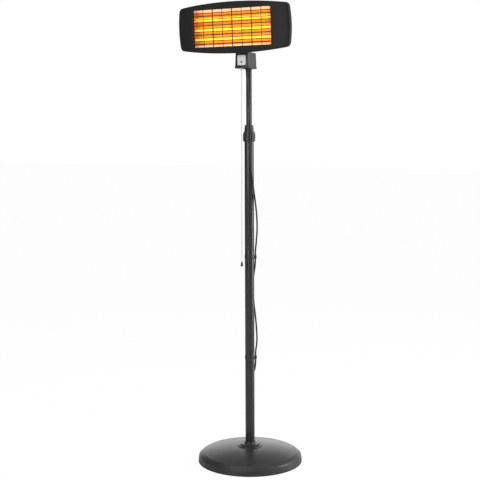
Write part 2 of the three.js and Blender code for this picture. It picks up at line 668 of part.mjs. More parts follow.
function knob(side, pivotY, pivotZ) {
  const start = TONGUE_HALF_WIDTH + 0.6 + EAR_THICKNESS + GAP + 1.5 + GAP;
  const bore = TILT_BOLT_RADIUS + GAP;
  const body = turned([
    [bore, 0], [9, 0], [9, 4], [14.5, 5], [14.5, 15], [12.5, 17], [0, 17], [0, 12], [bore, 12],
  ], 16);
  const turn = side > 0 ? Math.PI / 2 : -Math.PI / 2;
  return body.rotateY(turn).translate(side * start, pivotY, pivotZ);
}

function addHead(group) {
  const dy = PIVOT.y - HEAD_CENTRE.y;
  const dz = PIVOT.z - HEAD_CENTRE.z;
  const pivotY = dy * Math.cos(HEAD_TILT) + dz * Math.sin(HEAD_TILT);
  const pivotZ = -dy * Math.sin(HEAD_TILT) + dz * Math.cos(HEAD_TILT);
  piece(group, 'bezel', bezel(), finish.bezel);
  piece(group, 'grille', grille(), finish.grille);
  piece(group, 'reflector', reflector(), finish.reflector);
  piece(group, 'rear_housing', rearHousing(), finish.housing);
  for (const [name, z] of Object.entries(TUBE_HEIGHTS)) {
    const { radius, bore, halfLength, y } = QUARTZ_TUBE;
    const glass = ring(bore, radius, -halfLength, halfLength, 16).rotateY(Math.PI / 2);
    piece(group, `quartz_tube_${name}`, glass.translate(0, y, z), finish.quartz);
    const coil = rodAlongX(3.4, -halfLength + 2, halfLength - 2, y, z, 12);
    piece(group, `heating_coil_${name}`, coil, finish.coil);
  }
  for (const [name, side] of [['left', -1], ['right', 1]]) {
    piece(group, `lamp_holder_${name}`, lampHolder(side), finish.ceramic);
    piece(group, `lamp_wire_${name}`, lampWire(side), finish.wire);
    piece(group, `tilt_knob_${name}`, knob(side, pivotY, pivotZ), finish.blackPlastic);
    const washerAt = side * (TONGUE_HALF_WIDTH + 0.6 + EAR_THICKNESS + GAP + 0.75);
    const washer = ring(TILT_BOLT_RADIUS + GAP, 9, -0.75, 0.75, 20).rotateY(Math.PI / 2);
    piece(group, `tilt_washer_${name}`, washer.translate(washerAt, pivotY, pivotZ), finish.zinc);
  }
  piece(group, 'terminal_block', block(-20, 20, 62, 78, -12, 8), finish.ceramic);
  piece(group, 'tip_over_switch', block(40, 70, 50, 66, -40, -20), finish.nylon);
  piece(group, 'head_bracket', headBracket(pivotY, pivotZ), finish.steel);
  piece(group, 'tilt_bolt', rodAlongX(TILT_BOLT_RADIUS, -35, 35, pivotY, pivotZ), finish.zinc);
}

// --------------------------------------------------------------------------- cords
const LINK_ROUTE = [
  [0, 8, NECK.top + GAP], [0, 9.5, 1772], [0, 9, 1800], [0, 1, 1830], [0, -14, 1851],
  [0, -34, 1862.5], [0, -50, 1865], [0, -62.4, 1864.8],
];

// Straight down out of the gland, in front of the inner mast and the twist lock, round
// the right of the mast to the two clips, behind the mast and over the base.
const CORD_ROUTE = [
  [-7.5, 31.5, 1645], [-7, 31.5, 1625], [-4, 32, 1580], [3.5, 32.5, 1460], [4, 31, 1350],
  [5, 27.5, 1295], [17, 20, 1188], [26, 10.5, 1120], [31.5, 3.5, 1060], [32.6, 0.5, 1010],
  [28.6, 0, 950], [25.3, 0, 918], [25, 0, 900], [25, 0, 880], [22.6, -11, 845],
  [13, -22.8, 765], [17, -20, 705], [29, -2.5, 585], [30.5, 0, 525], [25.2, 0, 480],
  [25, 0, 466], [25, 0, 443], [24, -5, 424], [20.5, -15.5, 398], [11, -24, 372],
  [5, -25.5, 310], [4, -26, 140], [4, -31, 104], [4, -50, 80], [4, -85, 69.4],
  [4, -135, 61.4], [4, -180, 51.4], [7, -215, 42.4], [9, -227, 34], [11, -236.5, 22.5],
  [12.5, -245.5, 11.8], [12.5, -256, 5.4], [8.7, -270, 3.8], [-1.5, -280.5, 3.7],
  [-15.5, -284.3, 3.7], [-45, -275.3, 3.7],
];

// Out of the hank, up over the cord's own run and down into the plug.
const TAIL_ROUTE = [
  [-30.6, -235.9, 5.2], [-20, -239.8, 8], [-9.8, -246.3, 10.6], [-3.3, -256.5, 12],
  [-1.6, -266.1, 12.5], [-1.4, -288, 13.4], [0, -319, 18], [0, PLUG_TAIL + GAP, PLUG_AXIS_Z],
];

function cordHank() {
  const straight = HANK.length / 2 - HANK.width / 2;
  const outline = new THREE.Shape()
    .absarc(straight, 0, HANK.width / 2, -Math.PI / 2, Math.PI / 2)
    .absarc(-straight, 0, HANK.width / 2, Math.PI / 2, 1.5 * Math.PI);
  const bundle = raised(outline, 0.1, HANK.height, 10);
  const angle = THREE.MathUtils.degToRad(HANK.angle);
  bundle.rotateZ(CORD_TURN - angle);
  const [x, y] = onCordSide([HANK.side, HANK.front, 0]);
  return bundle.translate(x, y, 0);
}

function plug() {
  const body = turned([
    [0, 0], [4.6, 0], [5.2, 16], [11, 24], [17.5, 31], [18.5, 36], [18.5, 57], [0, 57],
  ], 28).rotateX(Math.PI / 2);
  const pins = [-9.5, 9.5].map((x) => disc(2.4, 56, 76, 14).rotateX(Math.PI / 2).translate(x, 0, 0));
  const whole = unite(body, ...pins).rotateZ(Math.PI + CORD_TURN);
  const [x, y] = onCordSide([0, PLUG_TAIL, 0]);
  return whole.translate(x, y, PLUG_AXIS_Z);
}

function addCords(group) {
  piece(group, 'mains_cord', cordAlong(CORD_ROUTE.map(onCordSide), CORD_RADIUS, 8, 74), finish.rubber);
  piece(group, 'cord_hank', cordHank(), finish.rubber);
  piece(group, 'cord_tail', cordAlong(TAIL_ROUTE.map(onCordSide), CORD_RADIUS, 10, 8), finish.rubber);
  piece(group, 'mains_plug', plug(), finish.rubber);
  piece(group, 'link_lead', cordAlong(LINK_ROUTE, 3, 8, 14), finish.rubber);
}

// ------------------------------------------------------------------------- assembly
const heater = new THREE.Group();
addBase(heater);
addMast(heater);
addTwistLock(heater);
addNeck(heater);
addPullCord(heater);
const head = new THREE.Group();
head.position.set(0, HEAD_CENTRE.y, HEAD_CENTRE.z);
head.rotation.x = HEAD_TILT;
addHead(head);
heater.add(head);
addCords(heater);

export default heater;
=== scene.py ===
"""Free-standing quartz patio heater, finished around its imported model.

New pieces are drawn in millimetres in the model's own frame, with Z up and the heater
facing -Y, and are brought to metres when they are finished.
"""
import json
import math

import bmesh
import bpy
from mathutils import Matrix, Vector


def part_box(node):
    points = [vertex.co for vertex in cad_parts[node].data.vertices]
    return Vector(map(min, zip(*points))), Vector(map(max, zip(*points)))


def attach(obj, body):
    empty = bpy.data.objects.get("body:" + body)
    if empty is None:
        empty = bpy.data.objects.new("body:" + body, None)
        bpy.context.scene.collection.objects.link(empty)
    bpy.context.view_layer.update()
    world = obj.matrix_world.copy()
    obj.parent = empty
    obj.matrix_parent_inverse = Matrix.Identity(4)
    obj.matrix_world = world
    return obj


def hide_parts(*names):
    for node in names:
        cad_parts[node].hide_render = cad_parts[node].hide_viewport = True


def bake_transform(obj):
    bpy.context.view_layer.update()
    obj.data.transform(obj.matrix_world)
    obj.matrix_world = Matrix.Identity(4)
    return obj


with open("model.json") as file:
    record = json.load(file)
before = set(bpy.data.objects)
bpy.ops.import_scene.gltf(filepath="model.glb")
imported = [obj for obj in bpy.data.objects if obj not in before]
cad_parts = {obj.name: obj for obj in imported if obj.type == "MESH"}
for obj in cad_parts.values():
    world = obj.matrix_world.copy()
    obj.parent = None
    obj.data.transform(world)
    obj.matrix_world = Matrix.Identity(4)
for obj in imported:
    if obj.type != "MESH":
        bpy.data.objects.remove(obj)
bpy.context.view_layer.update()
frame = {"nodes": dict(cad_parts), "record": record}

MM = 0.001
SCENE = bpy.context.scene


# ------------------------------------------------------------------ places in the model
def box_mm(node):
    low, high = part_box(node)
    return Vector(low) / MM, Vector(high) / MM


def middle_mm(node):
    low, high = box_mm(node)
    return (low + high) / 2


LAMP_DEPTH = 22
LAMP_HEIGHTS = {"top": 36.5, "middle": -3.5, "bottom": -43.5}


def head_placement():
    """The head's own axes, read from its lamps: X along it, Y into it, Z up its face."""
    top = middle_mm("quartz_tube_top")
    bottom = middle_mm("quartz_tube_bottom")
    along = Vector((1, 0, 0))
    up = (top - bottom).normalized()
    back = up.cross(along)
    origin = bottom - up * LAMP_HEIGHTS["bottom"] - back * LAMP_DEPTH
    turn = Matrix((along, back, up)).transposed().to_4x4()
    return Matrix.Translation(origin) @ turn


HEAD = head_placement()


# ------------------------------------------------------------------------------ camera
CORD_TURN = math.radians(28.1)
CAMERA_PLACE = (2.001, -3.833, 1.4406)
CAMERA_LENS = 76.65
CAMERA_DIP = 6.293
CAMERA_ROLL = -0.244


def add_camera():
    """A long lens in front of the heater and to its right, looking slightly down."""
    data = bpy.data.cameras.new("camera")
    data.lens = CAMERA_LENS
    data.sensor_width = 36
    camera = bpy.data.objects.new("camera", data)
    SCENE.collection.objects.link(camera)
    camera.matrix_world = (
        Matrix.Translation(CAMERA_PLACE)
        @ Matrix.Rotation(CORD_TURN, 4, "Z")
        @ Matrix.Rotation(math.radians(90 - CAMERA_DIP), 4, "X")
        @ Matrix.Rotation(math.radians(CAMERA_ROLL), 4, "Z")
    )
    SCENE.camera = camera


add_camera()


# ------------------------------------------------------------------- shader node groups
def new_group(name, inputs, outputs):
    """An empty shader node group with named float, colour or vector sockets."""
    group = bpy.data.node_groups.new(name, "ShaderNodeTree")
    for label, kind, value in inputs:
        socket = group.interface.new_socket(label, in_out="INPUT", socket_type=kind)
        socket.default_value = value
    for label, kind in outputs:
        group.interface.new_socket(label, in_out="OUTPUT", socket_type=kind)
    source = group.nodes.new("NodeGroupInput")
    target = group.nodes.new("NodeGroupOutput")
    return group, source, target


FLOAT = "NodeSocketFloat"
COLOR = "NodeSocketColor"


def feed(tree, value, socket):
    """Sets a socket to a number or joins it to another node's output."""
    if isinstance(value, (int, float, tuple)):
        socket.default_value = value
    else:
        tree.links.new(value, socket)


def object_point(tree):
    return tree.nodes.new("ShaderNodeTexCoord").outputs["Object"]


def noise_node(tree, scale, detail, roughness=0.55):
    """Noise over a piece, in its own space."""
    node = tree.nodes.new("ShaderNodeTexNoise")
    node.inputs["Detail"].default_value = detail
    node.inputs["Roughness"].default_value = roughness
    feed(tree, scale, node.inputs["Scale"])
    tree.links.new(object_point(tree), node.inputs["Vector"])
    return node.outputs["Fac"]


def math_node(tree, operation, a, b=0.0, clamp=False):
    node = tree.nodes.new("ShaderNodeMath")
    node.operation = operation
    node.use_clamp = clamp
    feed(tree, a, node.inputs[0])
    feed(tree, b, node.inputs[1])
    return node.outputs[0]


def mix_node(tree, factor, a, b):
    node = tree.nodes.new("ShaderNodeMix")
    node.data_type = "RGBA"
    feed(tree, factor, node.inputs["Factor"])
    feed(tree, a, node.inputs["A"])
    feed(tree, b, node.inputs["B"])
    return node.outputs["Result"]


def range_node(tree, value, low, high, to_low, to_high):
    node = tree.nodes.new("ShaderNodeMapRange")
    feed(tree, value, node.inputs["Value"])
    feed(tree, low, node.inputs["From Min"])
    feed(tree, high, node.inputs["From Max"])
    feed(tree, to_low, node.inputs["To Min"])
    feed(tree, to_high, node.inputs["To Max"])
    return node.outputs["Result"]


def coat_grain_group():
    """The orange-peel texture of a powder coat or a moulded skin."""
    group, source, target = new_group(
        "coat_grain",
        [("Size", FLOAT, 700.0), ("Pits", FLOAT, 0.3)],
        [("Height", FLOAT), ("Tone", FLOAT)],
    )
    grain = noise_node(group, source.outputs["Size"], detail=4)
    pits = group.nodes.new("ShaderNodeTexVoronoi")
    group.links.new(object_point(group), pits.inputs["Vector"])
    group.links.new(source.outputs["Size"], pits.inputs["Scale"])
    deep = math_node(group, "MULTIPLY", pits.outputs["Distance"], source.outputs["Pits"])
    height = math_node(group, "SUBTRACT", grain, deep)
    group.links.new(height, target.inputs["Height"])
    group.links.new(grain, target.inputs["Tone"])
    return group


def handling_group():
    """Soft blotches and rubbed patches: a colour between two, and a roughness."""
    group, source, target = new_group(
        "handling_marks",
        [
            ("Color", COLOR, (0.05, 0.05, 0.05, 1)), ("Rubbed", COLOR, (0.1, 0.1, 0.1, 1)),
            ("Roughness", FLOAT, 0.5), ("Spread", FLOAT, 0.08), ("Size", FLOAT, 9.0),
        ],
        [("Color", COLOR), ("Roughness", FLOAT)],
    )
    wide = noise_node(group, source.outputs["Size"], detail=6, roughness=0.62)
    patch = range_node(group, wide, 0.42, 0.72, 0.0, 0.55)
    color = mix_node(group, patch, source.outputs["Color"], source.outputs["Rubbed"])
    swing = math_node(group, "MULTIPLY", patch, source.outputs["Spread"])
    rough = math_node(group, "SUBTRACT", source.outputs["Roughness"], swing)
    group.links.new(color, target.inputs["Color"])
    group.links.new(rough, target.inputs["Roughness"])
    return group


def worn_edge_group():
    """Where a raised edge is rubbed: a mask from the surface's own sharpness."""
    group, source, target = new_group(
        "worn_edge", [("Reach", FLOAT, 0.5), ("Amount", FLOAT, 0.5)], [("Mask", FLOAT)]
    )
    sharp = group.nodes.new("ShaderNodeNewGeometry").outputs["Pointiness"]
    edge = range_node(group, sharp, 0.505, 0.56, 0.0, 1.0)
    broken = noise_node(group, 160.0, detail=5)
    patchy = range_node(group, broken, source.outputs["Reach"], 0.75, 0.0, 1.0)
    worn = math_node(group, "MULTIPLY", edge, patchy)
    mask = math_node(group, "MULTIPLY", worn, source.outputs["Amount"], clamp=True)
    group.links.new(mask, target.inputs["Mask"])
    return group


def settled_dust_group():
    """Fine dust on faces that look upwards."""
    group, source, target = new_group(
        "settled_dust", [("Amount", FLOAT, 0.3)], [("Mask", FLOAT)]
    )
    normal = group.nodes.new("ShaderNodeNewGeometry").outputs["Normal"]
    parts = group.nodes.new("ShaderNodeSeparateXYZ")
    group.links.new(normal, parts.inputs[0])
    upward = range_node(group, parts.outputs["Z"], 0.35, 1.0, 0.0, 1.0)
    drift = noise_node(group, 24.0, detail=7, roughness=0.7)
    patchy = range_node(group, drift, 0.35, 0.75, 0.2, 1.0)
    lying = math_node(group, "MULTIPLY", upward, patchy)
    mask = math_node(group, "MULTIPLY", lying, source.outputs["Amount"], clamp=True)
    group.links.new(mask, target.inputs["Mask"])
    return group


COAT_GRAIN = coat_grain_group()
HANDLING = handling_group()
WORN_EDGE = worn_edge_group()
SETTLED_DUST = settled_dust_group()


# --------------------------------------------------------------------------- materials
def group_node(tree, group, **values):
    node = tree.nodes.new("ShaderNodeGroup")
    node.node_tree = group
    for label, value in values.items():
        feed(tree, value, node.inputs[label])
    return node


def blank_material(name):
    material = bpy.data.materials.new(name)
    material.use_nodes = True
    return material, material.node_tree, material.node_tree.nodes["Principled BSDF"]


def opaque(color):
    return (*color, 1.0)


def bumped(tree, shader, height, strength, distance):
    """Raises and sinks the surface by a height pattern."""
    bump = tree.nodes.new("ShaderNodeBump")
    bump.inputs["Strength"].default_value = strength
    bump.inputs["Distance"].default_value = distance
    tree.links.new(height, bump.inputs["Height"])
    tree.links.new(bump.outputs["Normal"], shader.inputs["Normal"])


DUST_COLOR = (0.16, 0.155, 0.15)


def surfaced(name, color, rubbed, roughness, grain=(700.0, 0.3), relief=0.1,
             edge=0.3, edge_color=(0.3, 0.3, 0.3), dust=0.0, metallic=0.0,
             spread=0.08, patch=9.0, specular=0.5):
    """A finish with grain, rubbed patches, worn edges and settled dust."""
    material, tree, shader = blank_material(name)
    marks = group_node(tree, HANDLING, Color=opaque(color), Rubbed=opaque(rubbed),
                       Roughness=roughness, Spread=spread, Size=patch)
    texture = group_node(tree, COAT_GRAIN, Size=grain[0], Pits=grain[1])
    worn = group_node(tree, WORN_EDGE, Amount=edge)
    lying = group_node(tree, SETTLED_DUST, Amount=dust)
    bared = mix_node(tree, worn.outputs["Mask"], marks.outputs["Color"], opaque(edge_color))
    dusty = mix_node(tree, lying.outputs["Mask"], bared, opaque(DUST_COLOR))
    speck = range_node(tree, texture.outputs["Tone"], 0.3, 0.7, 0.0, 0.12)
    toned = mix_node(tree, speck, dusty, opaque(rubbed))
    tree.links.new(toned, shader.inputs["Base Color"])
    tree.links.new(marks.outputs["Roughness"], shader.inputs["Roughness"])
    bumped(tree, shader, texture.outputs["Height"], relief, 0.0004)
    shader.inputs["Metallic"].default_value = metallic
    shader.inputs["Specular IOR Level"].default_value = specular
    return material


def pull_cord_material():
    """Pale braided cord: slanting strands wound both ways along its length."""
    material, tree, shader = blank_material("pull_cord")
    point = object_point(tree)
    strands = []
    for lean in (0.9, -0.9):
        turned = tree.nodes.new("ShaderNodeMapping")
        turned.inputs["Rotation"].default_value = (0.0, lean, lean)
        tree.links.new(point, turned.inputs["Vector"])
        wave = tree.nodes.new("ShaderNodeTexWave")
        wave.inputs["Scale"].default_value = 260.0
        wave.inputs["Distortion"].default_value = 0.4
        tree.links.new(turned.outputs["Vector"], wave.inputs["Vector"])
        strands.append(wave.outputs["Fac"])
    braid = math_node(tree, "MAXIMUM", *strands)
    color = mix_node(tree, braid, opaque((0.3, 0.29, 0.27)), opaque((0.62, 0.61, 0.58)))
    tree.links.new(color, shader.inputs["Base Color"])
    bumped(tree, shader, braid, 0.5, 0.0002)
    shader.inputs["Roughness"].default_value = 0.8
    shader.inputs["Sheen Weight"].default_value = 0.3
    return material


def in_head(tree):
    """A surface point in the head's own axes, in metres."""
    mapping = tree.nodes.new("ShaderNodeMapping")
    mapping.vector_type = "TEXTURE"
    mapping.inputs["Location"].default_value = HEAD.translation * MM
    mapping.inputs["Rotation"].default_value = HEAD.to_euler()
    tree.links.new(object_point(tree), mapping.inputs["Vector"])
    parts = tree.nodes.new("ShaderNodeSeparateXYZ")
    tree.links.new(mapping.outputs["Vector"], parts.inputs[0])
    return parts


def color_ramp(tree, value, stops):
    ramp = tree.nodes.new("ShaderNodeValToRGB")
    elements = ramp.color_ramp.elements
    for place, color in stops:
        near = [e for e in elements if abs(e.position - place) < 1e-4]
        element = near[0] if near else elements.new(place)
        element.color = opaque(color)
    tree.links.new(value, ramp.inputs["Fac"])
    return ramp.outputs["Color"]


PAINTED_REFLECTION_REACH = 0.080
LAMP_REACH = 0.19
REFLECTOR_PAINTED_REFLECTION = 0.85
TUBE_GLOW = 0.7
COIL_GLOW = 1.2
BLACK = (0.0, 0.0, 0.0, 1.0)


def reflector_painted_reflection():
    """Polished sheet whose reflection is painted in as emission: the lamps' orange glow between them, the
    pale surroundings along both lips.
    """
    material, tree, shader = blank_material("reflector")
    local = in_head(tree)
    # Painted reflection: emission paints the lamps' orange light on the sheet and the pale surroundings on
    # both lips. It is weaker towards the ends and uneven with the ripple.
    height = range_node(tree, local.outputs["Z"], -PAINTED_REFLECTION_REACH, PAINTED_REFLECTION_REACH, 0.0, 1.0)
    glow = color_ramp(tree, height, [
        (0.0, (1.0, 0.84, 0.55)), (0.07, (1.0, 0.86, 0.56)), (0.1, (0.7, 0.12, 0.01)),
        (0.17, (1.0, 0.3, 0.025)), (0.36, (1.0, 0.34, 0.03)), (0.6, (1.0, 0.31, 0.025)),
        (0.88, (0.9, 0.22, 0.02)), (0.93, (1.0, 0.86, 0.58)), (1.0, (1.0, 0.84, 0.55)),
    ])
    end = math_node(tree, "ABSOLUTE", local.outputs["X"])
    fade = range_node(tree, end, 0.14, 0.18, 1.0, 0.4)
    ripple = noise_node(tree, 55.0, detail=5)
    uneven = range_node(tree, ripple, 0.3, 0.7, 0.72, 1.0)
    shown = math_node(tree, "MULTIPLY", fade, uneven)
    # the painted reflection goes in as emission, so the sheet glows though it is no lamp
    tree.links.new(mix_node(tree, shown, BLACK, glow), shader.inputs["Emission Color"])
    shader.inputs["Emission Strength"].default_value = REFLECTOR_PAINTED_REFLECTION
    shader.inputs["Base Color"].default_value = opaque((0.34, 0.2, 0.09))
    shader.inputs["Metallic"].default_value = 1.0
    rough = range_node(tree, ripple, 0.3, 0.7, 0.16, 0.32)
    tree.links.new(rough, shader.inputs["Roughness"])
    return material


def quartz_material():
    """Quartz tube: clear and glossy, hot yellow in the middle and redder at its ends."""
    material, tree, shader = blank_material("quartz_glass")
    local = in_head(tree)
    end = math_node(tree, "ABSOLUTE", local.outputs["X"])
    heat = color_ramp(tree, range_node(tree, end, 0.0, LAMP_REACH, 0.0, 1.0), [
        (0.0, (1.0, 0.68, 0.0)), (0.75, (1.0, 0.62, 0.0)), (0.93, (1.0, 0.3, 0.02)),
        (1.0, (0.4, 0.05, 0.01)),
    ])
    cloud = noise_node(tree, 40.0, detail=4)
    shown = range_node(tree, cloud, 0.3, 0.7, 0.6, 0.95)
    tree.links.new(mix_node(tree, shown, BLACK, heat), shader.inputs["Emission Color"])
    shader.inputs["Emission Strength"].default_value = TUBE_GLOW
    shader.inputs["Base Color"].default_value = opaque((1.0, 0.72, 0.4))
    shader.inputs["Roughness"].default_value = 0.12
    shader.inputs["IOR"].default_value = 1.46
    shader.inputs["Transmission Weight"].default_value = 0.7
    return material


def coil_material():
    """Resistance wire at full heat, a little cooler towards its ends."""
    material, tree, shader = blank_material("glowing_coil")
    local = in_head(tree)
    end = math_node(tree, "ABSOLUTE", local.outputs["X"])
    heat = color_ramp(tree, range_node(tree, end, 0.0, LAMP_REACH, 0.0, 1.0), [
        (0.0, (1.0, 0.62, 0.1)), (0.85, (1.0, 0.5, 0.06)), (1.0, (1.0, 0.16, 0.02)),
    ])
    tree.links.new(heat, shader.inputs["Emission Color"])
    shader.inputs["Emission Strength"].default_value = COIL_GLOW
    scale = noise_node(tree, 900.0, detail=4)
    oxide = mix_node(tree, scale, opaque((0.12, 0.07, 0.04)), opaque((0.3, 0.16, 0.08)))
    tree.links.new(oxide, shader.inputs["Base Color"])
    shader.inputs["Roughness"].default_value = 0.6
    return material


def make_materials():
    return {
        "base_paint": surfaced("base_paint", (0.02, 0.02, 0.021), (0.034, 0.034, 0.035), 0.36,
                               grain=(900.0, 0.4), relief=0.12, edge=0.25, dust=0.12),
        "mast_paint": surfaced("mast_paint", (0.015, 0.0145, 0.0155), (0.026, 0.026, 0.027), 0.3,
                               grain=(1100.0, 0.3), relief=0.1, edge=0.3, patch=6.0),
        "bezel_paint": surfaced("bezel_paint", (0.012, 0.0115, 0.012), (0.017, 0.0165, 0.017), 0.52,
                                grain=(1000.0, 0.3), relief=0.12, edge=0.15,
                                edge_color=(0.04, 0.04, 0.04), specular=0.18),
        "housing_paint": surfaced("housing_paint", (0.03, 0.03, 0.031), (0.05, 0.05, 0.05), 0.5,
                                  grain=(900.0, 0.4), relief=0.2, edge=0.4, dust=0.35),
        "black_plastic": surfaced("black_plastic", (0.016, 0.016, 0.017), (0.03, 0.03, 0.031), 0.42,
                                  grain=(1500.0, 0.5), relief=0.18, edge=0.35,
                                  edge_color=(0.08, 0.08, 0.08)),
        "nylon": surfaced("nylon", (0.03, 0.03, 0.032), (0.05, 0.05, 0.05), 0.5,
                          grain=(1200.0, 0.3), relief=0.15),
        "rubber": surfaced("rubber", (0.012, 0.012, 0.012), (0.03, 0.03, 0.03), 0.75,
                           grain=(1300.0, 0.6), relief=0.3, edge=0.1, dust=0.15),
        "cord_rubber": surfaced("cord_rubber", (0.008, 0.008, 0.0085), (0.018, 0.018, 0.018), 0.5,
                                grain=(1700.0, 0.4), relief=0.15, edge=0.05, patch=30.0),
        "plug_rubber": surfaced("plug_rubber", (0.011, 0.011, 0.0115), (0.025, 0.025, 0.026), 0.55,
                                grain=(1500.0, 0.5), relief=0.2, edge=0.2),
        "zinc_steel": surfaced("zinc_steel", (0.46, 0.47, 0.49), (0.6, 0.6, 0.58), 0.38,
                               grain=(500.0, 0.2), relief=0.08, edge=0.5,
                               edge_color=(0.7, 0.7, 0.7), metallic=1.0, spread=0.12, patch=40.0),
        "bracket_steel": surfaced("bracket_steel", (0.3, 0.3, 0.31), (0.42, 0.42, 0.42), 0.42,
                                  grain=(420.0, 0.2), relief=0.1, edge=0.5,
                                  edge_color=(0.6, 0.6, 0.6), metallic=1.0, patch=25.0),
        "guard_wire": surfaced("guard_wire", (0.008, 0.0065, 0.0065), (0.03, 0.02, 0.016), 0.5,
                               grain=(800.0, 0.2), relief=0.1, edge=0.1,
                               edge_color=(0.08, 0.06, 0.05), specular=0.3, patch=60.0),
        "weight_concrete": surfaced("weight_concrete", (0.33, 0.32, 0.3), (0.45, 0.44, 0.42), 0.92,
                                    grain=(220.0, 0.9), relief=0.8, edge=0.4, spread=0.02,
                                    edge_color=(0.55, 0.54, 0.5)),
        "ceramic": surfaced("ceramic", (0.72, 0.68, 0.6), (0.6, 0.53, 0.42), 0.6,
                            grain=(600.0, 0.5), relief=0.2, edge=0.1),
        "switch_plate": surfaced("switch_plate", (0.93, 0.93, 0.92), (0.86, 0.86, 0.85), 0.34,
                                 grain=(1400.0, 0.2), relief=0.05, edge=0.0, patch=50.0),
        "wire_sleeve": surfaced("wire_sleeve", (0.42, 0.09, 0.05), (0.5, 0.16, 0.1), 0.7,
                                grain=(2200.0, 0.8), relief=0.4, edge=0.0),
        "tie_strap": surfaced("tie_strap", (0.05, 0.05, 0.052), (0.09, 0.09, 0.09), 0.85,
                              grain=(2600.0, 0.9), relief=0.6, edge=0.2),
        "pull_cord": pull_cord_material(),
        "reflector": reflector_painted_reflection(),
        "quartz_glass": quartz_material(),
        "glowing_coil": coil_material(),
    }


MATERIALS = make_materials()


# ----------------------------------------------------------------------- shape helpers
def merged(bm):
    """Joins points that lie together and turns the faces one way."""
    bmesh.ops.remove_doubles(bm, verts=bm.verts, dist=0.002)
    bmesh.ops.recalc_face_normals(bm, faces=bm.faces)


def mesh_in_metres(bm, name, place):
    """Puts a drawing in its place in the model and makes it a mesh in metres."""
    bmesh.ops.transform(bm, matrix=place, verts=bm.verts)
    bmesh.ops.scale(bm, vec=(MM, MM, MM), verts=bm.verts)
    mesh = bpy.data.meshes.new(name)
    bm.to_mesh(mesh)
    bm.free()
    return mesh


def finished(bm, name, body, slot, replaced=(), place=Matrix(), look=None, sharp=35):
    """Makes a drawing a piece that rides on a body."""
    merged(bm)
    mesh = mesh_in_metres(bm, name, place)
    return piece_of(mesh, name, body, slot, replaced, look, sharp)


def piece_of(mesh, name, body, slot, replaced=(), look=None, sharp=35):
    """Makes a mesh a piece: its look (the slot's finish unless another is given), its body and what it
    replaces.
    """
    mesh.shade_smooth()
    mesh.set_sharp_from_angle(angle=math.radians(sharp))
    mesh.materials.clear()
    mesh.materials.append(MATERIALS[look or slot])
    obj = bpy.data.objects.new(name, mesh)
    SCENE.collection.objects.link(obj)
    if body:
        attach(obj, body)
    if replaced:
        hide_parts(*replaced)
    return obj


def thickened(obj, wall):
    """Gives an open skin a wall on its inner side."""
    solid = obj.modifiers.new("wall", "SOLIDIFY")
    solid.thickness = wall * MM
    solid.offset = -1
    solid.use_even_offset = True


def filleted(points, radius, steps=4, closed=True):
    """An outline whose corners are rounded; radius is one number or one for each corner."""
    radii = radius if isinstance(radius, (list, tuple)) else [radius] * len(points)
    corners = [Vector(p) for p in points]
    result = []
    for i, (corner, size) in enumerate(zip(corners, radii)):
        is_end = not closed and i in (0, len(corners) - 1)
        if size == 0 or is_end:
            result.append(tuple(corner))
            continue
        before = corners[i - 1] - corner
        after = corners[(i + 1) % len(corners)] - corner
        half = before.angle(after) / 2
        reach = min(size / math.tan(half), 0.45 * before.length, 0.45 * after.length)
        start = corner + before.normalized() * reach
        end = corner + after.normalized() * reach
        for k in range(steps + 1):
            t = k / steps
            result.append(tuple((1 - t) ** 2 * start + 2 * t * (1 - t) * corner + t * t * end))
    return result


def turned(bm, profile, steps=96, closed=True):
    """Turns a profile of (radius, height) points about the vertical axis."""
    verts = [bm.verts.new((r, 0, z)) for r, z in profile]
    pairs = list(zip(verts, verts[1:]))
    if closed:
        pairs.append((verts[-1], verts[0]))
    edges = [bm.edges.new(pair) for pair in pairs]
    bmesh.ops.spin(bm, geom=verts + edges, cent=(0, 0, 0), axis=(0, 0, 1),
                   angle=math.tau, steps=steps, use_merge=True)


def turned_piece(name, body, slot, profile, replaced, steps, place=Matrix(), closed=True, sharp=35):
    bm = bmesh.new()
    turned(bm, profile, steps, closed)
    return finished(bm, name, body, slot, replaced, place, sharp=sharp)


def loop_of(bm, points):
    verts = [bm.verts.new(p) for p in points]
    return [bm.edges.new(pair) for pair in zip(verts, verts[1:] + verts[:1])]


def skinned(bm, loops, cap_start=False, cap_end=False):
    """A skin over a row of closed loops that have equally many points."""
    rings = [loop_of(bm, points) for points in loops]
    for first, second in zip(rings, rings[1:]):
        bmesh.ops.bridge_loops(bm, edges=first + second)
    for wanted, ring in ((cap_start, rings[0]), (cap_end, rings[-1])):
        if wanted:
            bmesh.ops.contextual_create(bm, geom=ring)


def arc(centre, radius, start, end, steps):
    """Points on an arc in a plane, with its angles in degrees."""
    points = []
    for k in range(steps + 1):
        angle = math.radians(start + (end - start) * k / steps)
        points.append((centre[0] + radius * math.cos(angle), centre[1] + radius * math.sin(angle)))
    return points


def rounded_rectangle(width, height, corner, steps=6):
    x = width / 2 - corner
    z = height / 2 - corner
    quarters = [(x, -z, -90), (x, z, 0), (-x, z, 90), (-x, -z, 180)]
    points = []
    for cx, cz, start in quarters:
        points += arc((cx, cz), corner, start, start + 90, steps)
    return points


def rod(bm, radius, start, end):
    """A round rod between two points."""
    start, end = Vector(start), Vector(end)
    along = end - start
    turn = along.to_track_quat("Z", "Y").to_matrix().to_4x4()
    bmesh.ops.create_cone(bm, cap_ends=True, segments=12, radius1=radius, radius2=radius,
                          depth=along.length, matrix=Matrix.Translation((start + end) / 2) @ turn)


